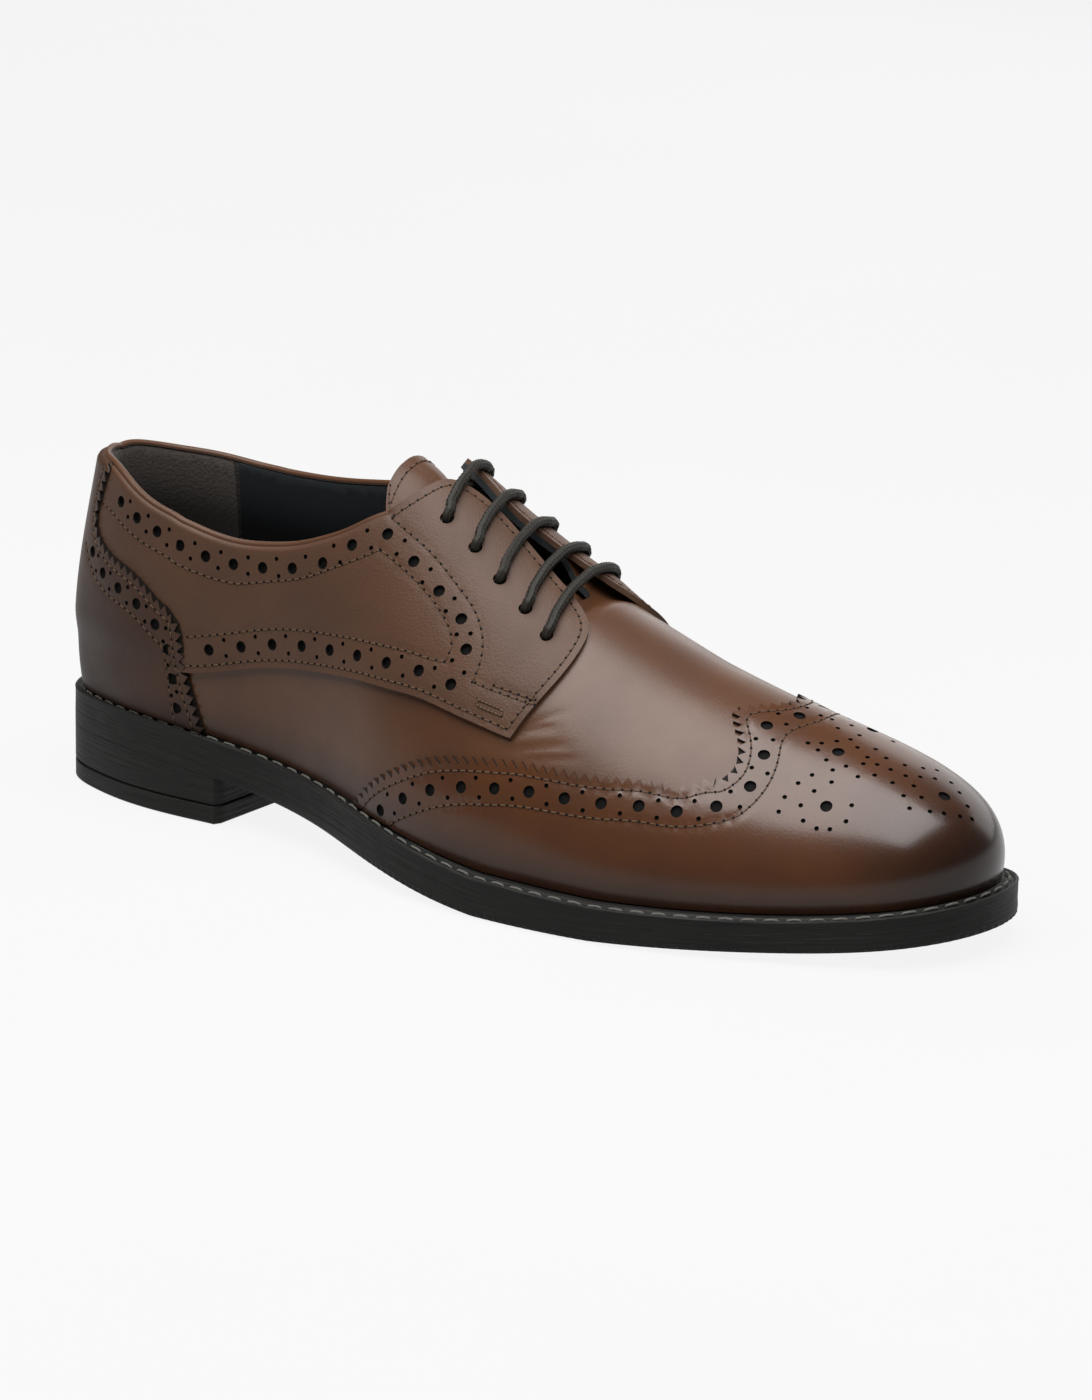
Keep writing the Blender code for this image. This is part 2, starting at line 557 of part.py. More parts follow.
def tongue(material):
    shape = spline(TONGUE[:, 0], TONGUE[:, 1:])
    places = np.concatenate([np.linspace(TONGUE[0, 0], TONGUE[2, 0], 4)[:-1],
                             np.linspace(TONGUE[2, 0], TONGUE[-1, 0], 15)])
    widths = np.linspace(-1, 1, 13)
    layers = []
    for extra in (0.0, TONGUE_THICKNESS):
        for along in places:
            down, half = shape(along)
            depth = TONGUE_TOP + down * (TONGUE_DEPTH - TONGUE_TOP) + extra
            layers += [crown_point(along * LAST_LENGTH, half * width * BALL_WIDTH, depth) for width in widths]
    rows, columns = len(places), len(widths)
    count = rows * columns
    polygons = []
    for i in range(rows - 1):
        for j in range(columns - 1):
            a, b, c, d = i * columns + j, i * columns + j + 1, (i + 1) * columns + j + 1, (i + 1) * columns + j
            polygons += [(a, b, c), (a, c, d), (a + count, c + count, b + count), (a + count, d + count, c + count)]
    border = ([i * columns for i in range(rows)] + [(rows - 1) * columns + j for j in range(1, columns)]
              + [i * columns + columns - 1 for i in range(rows - 2, -1, -1)] + list(range(columns - 2, 0, -1)))
    for a, b in zip(border, border[1:] + border[:1]):
        polygons += [(a, b, b + count), (a, b + count, a + count)]
    return solid("tongue", layers, polygons, material)


def lace_route():
    """Straight lacing in one length: flat places with a height over the last, in order."""
    eyelet = {(row, sign): flat(np.array(place[0]), np.array(sign * place[1]))
              for row, place in enumerate(LACE_ROWS, 1) for sign in (-1, 1)}
    bend = [0, math.pi / 4, math.pi / 2]

    def through(row, sign, towards, rising):
        """Turn between the hidden run and the bar at one eyelet, listed upwards or downwards."""
        hole = eyelet[row, sign]
        under = np.array((towards, 0.0))
        across = np.array((0.0, -sign))
        points = [(hole + under * BEND * (1 - math.sin(a)), -UNDER + BEND * (1 - math.cos(a))) for a in bend]
        points += [(hole, 0.0)]
        points += [(hole + across * BEND * (1 - math.cos(a)), OVER - BEND * (1 - math.sin(a))) for a in bend]
        return points if rising else points[::-1]

    def bar(row, sign):
        start, end = eyelet[row, sign], eyelet[row, -sign]
        return [(start * (1 - part) + end * part, OVER) for part in np.linspace(0.18, 0.82, 5)]

    def beside(row, sign, step):
        """Hidden run past an eyelet; a positive step keeps to the throat's side."""
        return [(eyelet[row, sign] + (0.0, -sign * step * SIDESTEP), -UNDER)]

    top = eyelet[1, -1] + (0.0, SIDESTEP)
    route = [(top, -UNDER), ((top + eyelet[2, -1]) / 2 + (0, SIDESTEP / 2), -UNDER)]
    route += through(2, -1, -1, True) + bar(2, -1) + through(2, 1, 1, False)
    route += beside(3, 1, 1) + through(4, 1, -1, True) + bar(4, 1) + through(4, -1, 1, False)
    route += through(5, -1, -1, True) + bar(5, -1) + through(5, 1, -1, False)
    route += beside(4, 1, -1) + through(3, 1, 1, True) + bar(3, 1) + through(3, -1, -1, False)
    route += beside(2, -1, -1) + through(1, -1, 1, True) + bar(1, -1) + through(1, 1, -1, False)
    end = eyelet[1, 1]
    return route + [(end + (-2 * BEND, 0.0), -UNDER)]


def lace(material):
    route = lace_route()
    points = lifted(np.array([place for place, _ in route]), np.array([height for _, height in route]))
    data = bpy.data.curves.new("lace", "CURVE")
    data.dimensions = "3D"
    data.bevel_depth = LACE / 2
    data.bevel_resolution = 2
    data.use_fill_caps = True
    line = data.splines.new("POLY")
    line.points.add(len(points) - 1)
    for point, place in zip(line.points, points):
        point.co = (place[0] - centre[0], place[1] - centre[1], place[2], 1)
    data.materials.append(material)
    cord = bpy.data.objects.new("lace", data)
    bpy.context.scene.collection.objects.link(cord)
    return cord


def build():
    for old in list(bpy.data.objects):
        bpy.data.objects.remove(old)
    brown = (0.085, 0.040, 0.022)
    rubber = (0.010, 0.010, 0.011)
    base, opening, quarters, counter, cap = cut_lines()
    radius = LACE / 2 + EYELET_CLEARANCE
    eyelets = [round_loop(flat(np.array(along), np.array(sign * across)), radius, EYELET_SIDES)
               for along, across in LACE_ROWS for sign in (-1, 1)]
    points, faces = triangulated([base, opening, quarters["lateral"], quarters["medial"], counter, cap] + eyelets)
    middles = points[faces].mean(axis=1)
    holes = inside(opening, middles)
    for eyelet in eyelets:
        holes |= inside(eyelet, middles)
    skin = inside(base, middles) & ~holes
    sheet("upper", points, faces[skin], -WALL, 0.0, finish("upper_leather", brown, 0.42))
    for side, loop in quarters.items():
        sheet("quarter_" + side, points, faces[skin & inside(loop, middles)], SEAT, SEAT + FACING,
              finish("quarter_leather_" + side, brown, 0.45))
    sheet("wing_cap", points, faces[skin & inside(cap, middles)], SEAT, SEAT + CAP,
          finish("cap_leather", (0.070, 0.032, 0.018), 0.35))
    sheet("heel_counter", points, faces[skin & inside(counter, middles)], SEAT, SEAT + CAP,
          finish("counter_leather", (0.060, 0.030, 0.020), 0.40))
    tongue(finish("tongue_leather", brown, 0.50))
    lace(finish("lace_cord", (0.020, 0.018, 0.016), 0.55))

    def welt_bottom(x):
        return feather_height(x) - WELT_THICKNESS - 1.7 * SEAT

    welt(finish("welt_rubber", rubber, 0.50))
    plate("insole", lambda x: np.full(x.shape, -WELT_TUCK - 3 * SEAT), lambda x: welt_bottom(x) + 1.5 * SEAT,
          lambda x: feather_height(x) + INSOLE_RISE, finish("insole_leather", (0.030, 0.028, 0.028), 0.70))
    plate("outsole", ledge, sole_bottom, welt_bottom, finish("outsole_rubber", rubber, 0.55), chamfer=EDGE_CHAMFER)
    breast = sole_edge[:, 0].min() + HEEL_LENGTH
    plate("heel_stack", ledge, lambda x: 0 * x + LIFT_HEIGHT + SEAT, lambda x: sole_bottom(x) - SEAT,
          finish("heel_rubber", rubber, 0.55), breast=breast)
    plate("top_lift", ledge, lambda x: 0 * x, lambda x: 0 * x + LIFT_HEIGHT, finish("lift_rubber", rubber, 0.60),
          breast=breast, chamfer=EDGE_CHAMFER)


build()
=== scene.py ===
"""Looks of the leather wing-tip derby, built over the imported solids, in metres: +X to the toe, +Z up.

The leather follows the same last as the solids do. A place on it is (along, across): along is the share
of the last's length, across the share of the way down from the crown to the feather line, negative on
the outer side. Laid out flat, each section of the last is unrolled from its crown line.
"""
import math

import bmesh
import bpy
import numpy as np
from mathutils import Matrix, Vector
from mathutils.geometry import delaunay_2d_cdt


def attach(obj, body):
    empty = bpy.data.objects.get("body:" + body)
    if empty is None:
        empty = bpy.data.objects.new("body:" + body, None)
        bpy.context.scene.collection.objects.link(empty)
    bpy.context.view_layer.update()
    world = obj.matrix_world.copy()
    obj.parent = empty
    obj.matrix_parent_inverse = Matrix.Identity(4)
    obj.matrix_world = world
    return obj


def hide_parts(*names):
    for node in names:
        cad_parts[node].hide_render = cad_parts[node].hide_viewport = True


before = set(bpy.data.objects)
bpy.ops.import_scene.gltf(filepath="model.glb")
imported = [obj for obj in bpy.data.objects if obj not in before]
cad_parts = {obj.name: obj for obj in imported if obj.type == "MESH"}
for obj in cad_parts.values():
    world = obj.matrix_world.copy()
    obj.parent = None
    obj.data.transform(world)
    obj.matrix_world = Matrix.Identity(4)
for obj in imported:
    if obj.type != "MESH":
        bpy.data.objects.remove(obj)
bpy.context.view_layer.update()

# Driving sizes of the last
LAST_LENGTH = 0.298      # feather line, heel to toe
BALL_WIDTH = 0.089       # feather line across the ball, by which all widths go
INSTEP_HEIGHT = 0.0875   # crown above the feather line where the facings begin

# Sole and heel
HEEL_HEIGHT = 0.0165     # underside of the outsole above the ground at the back
LIFT_HEIGHT = 0.0055     # top lift, the heel's wearing layer
HEEL_LENGTH = 0.0700     # back of the heel to its breast
TOE_SPRING = 0.0072      # underside of the outsole above the ground at the toe
SOLE_THICKNESS = 0.0105  # welt and outsole together
WELT_THICKNESS = 0.0032
WELT_LEDGE = 0.0075      # welt beyond the feather line at the forefoot
WELT_TUCK = 0.0030       # welt under the upper
HEEL_CHAMFER = 0.0004    # lower edges of heel and top lift
HEEL_SEAT = 0.00015      # half the joint between them

# Leather
WALL = 0.0018            # lined upper
QUARTER = 0.0015         # outer faces of quarter, wing cap and counter above the last
OVERLAY = 0.0010
COUNTER_TOP = 0.0024
TONGUE_THICKNESS = 0.0022
SEAT = 0.0003            # between pieces that touch

# Lacing
LACE = 0.0030
LACE_CLEARANCE = 0.0008
LACE_ROWS = [(0.451, 0.164), (0.486, 0.181), (0.519, 0.204), (0.552, 0.230), (0.581, 0.267)]
BEND = 0.75 * LACE                           # radius of a lace's turn into an eyelet
OVER = QUARTER + LACE / 2 - 0.0001           # height of a bar over the last's surface
UNDER = WALL + LACE_CLEARANCE + LACE / 2     # depth of a hidden lace under it
SIDESTEP = LACE + LACE_CLEARANCE             # a hidden lace passes an eyelet at this distance
TONGUE_TOP = WALL + 2 * SEAT                 # depth of the tongue right under the upper
TONGUE_DEPTH = UNDER + LACE / 2 + 2 * SEAT   # depth of the tongue under the laces

SECTION_STEPS = 64

HEEL_PIVOT = 0.168       # sections fan out behind this share of the length
TOE_PIVOT = 0.812        # and beyond this one
HEEL_CENTRE = 0.02
TOE_CENTRE = 0.075

# Feather line: along, lateral and medial half width in ball widths
OUTLINE = np.array([
    (0.020, 0.130, 0.150), (0.050, 0.190, 0.235), (0.100, 0.250, 0.300), (0.178, 0.285, 0.330),
    (0.277, 0.300, 0.315), (0.366, 0.375, 0.300), (0.436, 0.465, 0.318), (0.515, 0.530, 0.377),
    (0.574, 0.547, 0.427), (0.634, 0.547, 0.455), (0.693, 0.533, 0.457), (0.772, 0.482, 0.422),
    (0.851, 0.385, 0.370), (0.912, 0.304, 0.327), (0.952, 0.237, 0.284), (0.981, 0.147, 0.224)])

# Sole from the side: along, shares of heel height, toe spring, thickness and ledge; crown line in ball widths
PROFILE = np.array([
    (0.000, 1.000, 0.00, 1.02, 0.50, 0.020),
    (0.100, 1.000, 0.00, 1.03, 0.47, 0.020),
    (0.178, 0.910, 0.00, 1.05, 0.44, 0.020),
    (0.277, 0.690, 0.00, 1.09, 0.40, 0.018),
    (0.366, 0.505, 0.00, 1.12, 0.41, 0.016),
    (0.436, 0.340, 0.00, 1.13, 0.50, 0.016),
    (0.515, 0.130, 0.00, 1.10, 0.71, 0.018),
    (0.604, -0.020, -0.01, 1.04, 0.94, 0.028),
    (0.683, 0.000, -0.03, 0.96, 1.02, 0.050),
    (0.772, 0.000, 0.14, 0.89, 1.00, 0.080),
    (0.851, 0.000, 0.30, 0.86, 0.98, 0.094),
    (0.932, 0.000, 0.60, 0.89, 0.90, 0.087),
    (1.000, 0.000, 1.00, 0.93, 0.72, 0.070)])

# Sections: along, then swell, rise and shoulder of the lateral side, then the same of the medial side
SIDES = np.array([
    (0.000, 0.052, 0.295, 0.900, 0.052, 0.295, 0.900),
    (0.100, 0.066, 0.302, 0.965, 0.050, 0.298, 0.930),
    (0.178, 0.048, 0.322, 0.955, 0.024, 0.320, 0.935),
    (0.277, 0.025, 0.345, 0.910, -0.009, 0.342, 0.910),
    (0.366, 0.011, 0.389, 0.745, -0.030, 0.388, 0.750),
    (0.436, 0.011, 0.387, 0.600, -0.020, 0.410, 0.600),
    (0.515, 0.022, 0.321, 0.600, 0.010, 0.385, 0.615),
    (0.604, 0.034, 0.284, 0.600, 0.034, 0.370, 0.650),
    (0.683, 0.034, 0.252, 0.580, 0.034, 0.303, 0.580),
    (0.772, 0.034, 0.227, 0.578, 0.033, 0.225, 0.510),
    (0.851, 0.036, 0.215, 0.558, 0.034, 0.225, 0.540),
    (0.932, 0.046, 0.230, 0.575, 0.046, 0.250, 0.580),
    (1.000, 0.066, 0.290, 0.600, 0.066, 0.290, 0.600)])

# Crown: along, height and droop in instep heights, mouth in half widths (0 where the crown is closed)
CROWN = np.array([
    (0.000, 0.900, -0.290, 0.825),
    (0.100, 0.920, -0.278, 0.855),
    (0.178, 0.955, -0.282, 0.806),
    (0.277, 1.033, -0.226, 0.638),
    (0.366, 1.044, -0.080, 0.240),
    (0.436, 1.000, 0.000, 0.000),
    (0.515, 0.878, 0.000, 0.000),
    (0.604, 0.747, 0.000, 0.000),
    (0.683, 0.648, 0.000, 0.000),
    (0.772, 0.553, 0.000, 0.000),
    (0.851, 0.460, 0.000, 0.000),
    (0.932, 0.330, 0.000, 0.000),
    (1.000, 0.205, 0.000, 0.000)])

# Edges of the leather: along, across
COLLAR_LATERAL = [
    (0.000, 0.114), (0.022, 0.116), (0.045, 0.127), (0.067, 0.150), (0.093, 0.190), (0.130, 0.242),
    (0.173, 0.289), (0.207, 0.321), (0.239, 0.338), (0.270, 0.336), (0.303, 0.321), (0.333, 0.293),
    (0.362, 0.257), (0.386, 0.216), (0.397, 0.200)]
COLLAR_MEDIAL = [
    (0.000, 0.114), (0.045, 0.150), (0.090, 0.180), (0.135, 0.208), (0.180, 0.226), (0.225, 0.236),
    (0.265, 0.232), (0.303, 0.216), (0.333, 0.200), (0.362, 0.190), (0.386, 0.190), (0.397, 0.190)]
FACING_TOP = {-1: [(0.408, 0.160), (0.420, 0.105), (0.433, 0.050)],
              1: [(0.403, 0.150), (0.409, 0.100), (0.415, 0.052)]}
THROAT = [(0.449, 0.038), (0.473, 0.034), (0.513, 0.042), (0.556, 0.073), (0.590, 0.118)]
THROAT_END = [(0.571, 0.060), (0.576, 0.030)]
FRONT_EDGE = [(0.608, 0.174), (0.614, 0.251), (0.612, 0.354), (0.599, 0.495), (0.588, 0.595)]
QUARTER_BOTTOM = [
    (0.559, 0.597), (0.532, 0.603), (0.489, 0.619), (0.444, 0.648), (0.395, 0.662), (0.343, 0.677),
    (0.295, 0.700), (0.235, 0.751), (0.190, 0.791)]
COUNTER_EDGE = [
    (0.200, 1.000), (0.188, 0.864), (0.182, 0.782), (0.179, 0.679), (0.173, 0.624), (0.157, 0.577),
    (0.133, 0.519), (0.102, 0.470), (0.066, 0.418), (0.048, 0.356), (0.048, 0.263), (0.056, 0.145)]
WING_EDGE = [
    (0.408, 1.000), (0.428, 0.930), (0.463, 0.845), (0.513, 0.747), (0.561, 0.687), (0.601, 0.655),
    (0.643, 0.637), (0.683, 0.615), (0.734, 0.585), (0.765, 0.558), (0.780, 0.520)]

# The cap's centre line, then its two scallops and its point beside it: along, distance in ball widths
CAP_CENTRE = -0.188
SCALLOP = [(0.780, 0.264), (0.790, 0.219), (0.791, 0.163), (0.785, 0.112), (0.771, 0.054)]
CAP_POINT = 0.760

# Tongue: along, depth from 0 at its top to 1 under the laces, half width in ball widths
TONGUE = np.array([
    (0.383, 0.02, 0.213), (0.388, 0.07, 0.270), (0.400, 0.17, 0.298), (0.415, 0.46, 0.315),
    (0.432, 0.90, 0.326), (0.450, 1.00, 0.337), (0.500, 1.00, 0.337), (0.550, 1.00, 0.315),
    (0.596, 1.00, 0.281), (0.615, 0.60, 0.247), (0.635, 0.07, 0.202)])


def spline(stations, values):
    """Natural cubic spline through the columns of a table."""
    count = len(stations)
    gap = np.diff(stations)
    system, right = np.zeros((count, count)), np.zeros(values.shape)
    system[0, 0] = system[-1, -1] = 1.0
    for i in range(1, count - 1):
        system[i, i - 1:i + 2] = gap[i - 1], 2 * (gap[i - 1] + gap[i]), gap[i]
        right[i] = 6 * ((values[i + 1] - values[i]) / gap[i] - (values[i] - values[i - 1]) / gap[i - 1])
    bend = np.linalg.solve(system, right)

    def at(place):
        place = np.asarray(place, float)
        i = np.clip(np.searchsorted(stations, place) - 1, 0, count - 2)
        after, before = (place - stations[i])[..., None], (stations[i + 1] - place)[..., None]
        width = gap[i][..., None]
        return ((bend[i] * before ** 3 + bend[i + 1] * after ** 3) / (6 * width)
                + (values[i] / width - bend[i] * width / 6) * before
                + (values[i + 1] / width - bend[i + 1] * width / 6) * after)
    return at


def run_along(line):
    """Distance from the start of a polyline to each of its points."""
    return np.concatenate([[0], np.cumsum(np.linalg.norm(np.diff(line, axis=0), axis=1))])


def at_run(where, run, line):
    """Places on a polyline at distances from its start."""
    return np.stack([np.interp(where, run, column) for column in line.T], -1)


def unit(ways, least=0.0):
    return ways / (np.linalg.norm(ways, axis=-1, keepdims=True) + least)


def left_of(ways):
    """Flat directions turned by a quarter to the left."""
    return np.stack([-ways[..., 1], ways[..., 0]], -1)


def spaced(points, closed=False):
    """Smooth curve through points, with its parameter from 0 to 1."""
    points = np.asarray(points, float)
    ring = np.vstack([points[-4:], points, points[:5]]) if closed else points
    run = run_along(ring)
    curve = spline(run, ring)
    start, end = (run[4], run[4 + len(points)]) if closed else (0, run[-1])
    wrap = (lambda t: np.asarray(t) % 1.0) if closed else np.asarray
    return lambda t: curve(start + wrap(t) * (end - start)), end - start


def feather_points():
    lateral = [(along, -width) for along, width, _ in OUTLINE]
    medial = [(along, width) for along, _, width in OUTLINE[::-1]]
    return np.array([(0, HEEL_CENTRE)] + lateral + [(1, TOE_CENTRE)] + medial) * (LAST_LENGTH, BALL_WIDTH)


feather, feather_length = spaced(feather_points(), closed=True)
profile = spline(PROFILE[:, 0], PROFILE[:, 1:])
sides = spline(SIDES[:, 0], SIDES[:, 1:])
crown = spline(CROWN[:, 0], CROWN[:, 1:])


def share(x):
    return np.clip(np.asarray(x, float) / LAST_LENGTH, -0.05, 1.05)


def sole_bottom(x):
    """Underside of the outsole, flat on the ground under the ball."""
    part = profile(share(x))
    return np.maximum(HEEL_HEIGHT * part[..., 0] + TOE_SPRING * part[..., 1], 0.0)


def feather_height(x):
    return sole_bottom(x) + SOLE_THICKNESS * profile(share(x))[..., 2]


def ledge(x):
    return WELT_LEDGE * profile(share(x))[..., 3]


def crown_line(x):
    return BALL_WIDTH * profile(share(x))[..., 4]


def crown_height(x):
    return feather_height(x) + INSTEP_HEIGHT * crown(share(x))[..., 0]


def rim(turn, out):
    """The feather line moved outwards."""
    step = 1e-4
    along = unit(feather(turn + step) - feather(turn - step))
    return feather(turn) - np.asarray(out)[..., None] * left_of(along)


turns = np.linspace(0, 1, 4001)[:-1]
feet = feather(turns)
sole_edge = rim(turns, ledge(feet[:, 0]))
centre = (sole_edge.min(axis=0) + sole_edge.max(axis=0)) / 2
toe_turn = turns[np.argmax(feet[:, 0])]
heel_x, toe_x = HEEL_PIVOT * LAST_LENGTH, TOE_PIVOT * LAST_LENGTH


def section(turn):
    """Section through the feather line at turn: control points (reach, height), pivot and direction."""
    foot = feather(turn)
    x = foot[..., 0]
    pivot = np.clip(x, heel_x, toe_x)
    across = foot[..., 1] - crown_line(x)
    reach = np.hypot(x - pivot, across)
    way = np.stack([(x - pivot) / reach, across / reach], -1)
    side = sides(share(x))
    lateral = (np.asarray(turn) % 1.0 < toe_turn)[..., None]
    swell, rise, shoulder = np.moveaxis(np.where(lateral, side[..., :3], side[..., 3:]), -1, 0)
    _, droop, mouth = np.moveaxis(crown(share(x)), -1, 0)
    top = crown_height(np.minimum(x, toe_x))
    step = 0.0005
    slope = (crown_height(toe_x + step) - crown_height(toe_x - step)) / (2 * step)
    tilt = np.where(x > toe_x, slope * way[..., 0] * shoulder * reach, 0)
    base = feather_height(x)
    reaches = np.stack([reach, reach + swell * BALL_WIDTH, shoulder * reach, mouth * reach], -1)
    heights = np.stack([base, base + rise * INSTEP_HEIGHT, top + droop * INSTEP_HEIGHT + tilt, top], -1)
    return reaches, heights, pivot, way


def bezier(points, t):
    return (points[..., 0] * (1 - t) ** 3 + points[..., 1] * 3 * t * (1 - t) ** 2
            + points[..., 2] * 3 * t * t * (1 - t) + points[..., 3] * t ** 3)


def girth(reaches, heights):
    """Distance down the section from its crown, at even steps from the crown to the feather line."""
    t = np.linspace(1, 0, SECTION_STEPS + 1)
    run = np.hypot(np.diff(bezier(reaches[..., None, :], t)), np.diff(bezier(heights[..., None, :], t)))
    return np.concatenate([np.zeros(run.shape[:-1] + (1,)), np.cumsum(run, -1)], -1)


lateral_side = (turns < toe_turn) & (turns < 0.98)
lateral_side[0] = True
medial_side = ~lateral_side


def turn_at(x, is_lateral):
    """Where the feather line passes x on one side."""
    x = np.asarray(x, float)
    lateral = np.interp(x, feet[lateral_side, 0], turns[lateral_side])
    medial = np.interp(x, feet[medial_side, 0][::-1], turns[medial_side][::-1])
    return np.where(is_lateral, lateral, medial)


def unrolled(turn, across, rise=0.0):
    """Flat place on the section at turn, a share of the way down it less a rise."""
    reaches, heights, pivot, way = section(turn)
    out = reaches[..., 3] + np.abs(across) * girth(reaches, heights)[..., -1] - rise
    return np.stack([pivot + out * way[..., 0], out * way[..., 1]], -1)


def flat(along, across):
    """A place on the leather, laid out flat: each section is unrolled from the crown line."""
    return unrolled(turn_at(np.asarray(along, float) * LAST_LENGTH, np.asarray(across) < 0), across)


def fan_turns(pivot_x, first, last):
    """Directions from a pivot to the feather line, as rising angles, with their turns."""
    turn = np.linspace(first, last, 1201)
    foot = feather(turn)
    angle = np.unwrap(np.arctan2(foot[:, 1] - crown_line(foot[:, 0]), foot[:, 0] - pivot_x))
    return angle, turn


toe_fan = fan_turns(toe_x, float(turn_at(toe_x, True)), float(turn_at(toe_x, False)))
heel_fan = fan_turns(heel_x, float(turn_at(heel_x, False)), float(turn_at(heel_x, True)) + 1)


def turn_of(flat_points):
    """Where the sections through flat points meet the feather line."""
    u, v = flat_points[..., 0], flat_points[..., 1]
    turn = turn_at(np.clip(u, heel_x, toe_x), v < 0)
    toe = np.interp(np.arctan2(v, u - toe_x), *toe_fan)
    angle = np.arctan2(v, u - heel_x)
    heel = np.interp(np.where(angle < 0, angle + 2 * math.pi, angle), *heel_fan)
    return np.where(u > toe_x, toe, np.where(u < heel_x, heel, turn)) % 1.0


def on_last(flat_points):
    """The last's surface at flat points."""
    flat_points = np.asarray(flat_points, float)
    reaches, heights, pivot, way = section(turn_of(flat_points))
    down = np.hypot(flat_points[..., 0] - pivot, flat_points[..., 1]) - reaches[..., 3]
    run = girth(reaches, heights)
    step = (run < down[..., None]).sum(-1).clip(1, SECTION_STEPS)
    low = np.take_along_axis(run, (step - 1)[..., None], -1)[..., 0]
    high = np.take_along_axis(run, step[..., None], -1)[..., 0]
    t = 1 - (step - 1 + (down - low) / (high - low)) / SECTION_STEPS
    t = np.clip(t, -0.02, 1)
    reach = bezier(reaches, t)
    x = pivot + reach * way[..., 0]
    return np.stack([x, reach * way[..., 1] + crown_line(x), bezier(heights, t)], -1)


def changes(flat_points, step):
    """How the last's surface moves from one step before flat points to one after, along each flat axis."""
    return [on_last(flat_points + way) - on_last(flat_points - way) for way in ((step, 0), (0, step))]


def normal_at(flat_points):
    return unit(np.cross(*changes(flat_points, 0.0004)))


def lifted(flat_points, height):
    """The last's surface at flat points, raised by height along its normal, in the part's frame."""
    flat_points = np.asarray(flat_points, float)
    height = np.broadcast_to(height, flat_points.shape[:-1])
    place = on_last(flat_points) + normal_at(flat_points) * height[..., None]
    return place - (centre[0], centre[1], 0)


def dense(places, sign=-1, pitch=0.0012):
    """Fine flat curve through (along, across) places on one side."""
    places = np.array(places)
    curve, length = spaced(flat(places[:, 0], sign * places[:, 1]))
    return curve(np.linspace(0, 1, max(2, round(length / pitch) + 1)))


def refined(line, pitch=0.0012):
    """Polyline with even steps."""
    run = run_along(line)
    return at_run(np.linspace(0, run[-1], max(2, round(run[-1] / pitch) + 1)), run, line)


def beside(line, distance, smooth=0):
    """Polyline moved to its left by distance, then smoothed so many times."""
    moved = line + distance * left_of(unit(np.gradient(line, axis=0), 1e-12))
    gap = np.array([np.min(np.linalg.norm(line - point, axis=1)) for point in moved])
    moved = moved[gap > abs(distance) * 0.97]
    if len(moved) < 4:
        return moved
    moved = refined(moved)
    for _ in range(smooth):
        moved[1:-1] = (moved[:-2] + 2 * moved[1:-1] + moved[2:]) / 4
    return refined(moved)


def feather_edge(first, last, rise, pitch=0.0015):
    """Flat line just above the feather line, from one turn to another."""
    turn = np.linspace(first, last, max(2, round(abs(last - first) * feather_length / pitch)))
    return unrolled(turn, 1.0, rise)


def inside(loop, points):
    x, y = points[:, 0], points[:, 1]
    hit = np.zeros(len(points), bool)
    for (x1, y1), (x2, y2) in zip(loop, np.roll(loop, -1, axis=0)):
        crosses = (y1 > y) != (y2 > y)
        hit ^= crosses & (x < (x2 - x1) * (y - y1) / np.where(crosses, y2 - y1, 1) + x1)
    return hit


BATCH = 800              # points compared at once


def distance_to(line, points):
    """Distance from each point to a polyline."""
    start, step = line[:-1], np.diff(line, axis=0)
    size = (step ** 2).sum(1) + 1e-18
    found = np.empty(len(points))
    for i in range(0, len(points), BATCH):
        part = points[i:i + BATCH, None] - start[None]
        t = np.clip((part * step).sum(-1) / size, 0, 1)
        found[i:i + BATCH] = np.sqrt(((part - t[..., None] * step) ** 2).sum(-1)).min(1)
    return found


def round_loop(middle, radius, count):
    """Round hole in the leather about a flat point, laid out flat."""
    step = 0.0005
    right, left = (change / (2 * step) for change in changes(middle, step))
    stretch, ways = np.linalg.eigh([[right @ right, right @ left], [right @ left, left @ left]])
    turn = np.arange(count) * math.tau / count
    circle = radius * np.stack([np.cos(turn), np.sin(turn)])
    return middle + (ways @ (ways.T @ circle / np.sqrt(stretch)[:, None])).T


def pinked(line, pitch, depth, side):
    """Saw-tooth edge along a flat polyline; the teeth point to the left of it if side is 1."""
    run = run_along(on_last(line))
    points = at_run(np.linspace(0, run[-1], 2 * round(run[-1] / pitch) + 1), run, line)
    out = side * left_of(unit(np.gradient(points, axis=0)))
    tooth = np.where(np.arange(len(points)) % 2, 0.25 * depth, -0.75 * depth)
    return points + out * tooth[:, None]


def hole_row(line, pitch=None, small_out=0.0, count=None, bias=0.0):
    """Places for large holes from end to end of a flat line, and for pairs of small ones between them.

    The large ones are about a pitch apart, or count says how many gaps they leave; bias moves them back.
    """
    run = run_along(on_last(line))
    count = count or max(1, round(run[-1] / pitch))
    part = np.arange(count + 1) / count
    at = (part - bias * np.sin(math.pi * part)) * run[-1]
    between = (np.arange(count) + 0.5) * run[-1] / count
    mid = at_run(between, run, line)
    along = unit(at_run(between + 0.0005, run, line) - at_run(between - 0.0005, run, line))
    out = left_of(along) * small_out
    return list(at_run(at, run, line)), list(mid + out) + list(mid - out)


def small_pairs(big, out):
    """Pairs of small holes midway between neighbours in a row of large ones."""
    big = np.array(big)
    off = out * left_of(unit(np.diff(big, axis=0)))
    middle = (big[1:] + big[:-1]) / 2
    return list(middle + off) + list(middle - off)


LONGEST_STEP = 0.003     # a line is broken where its points are further apart
MOST_CORNERS = 40        # a ring of more edges is no hole

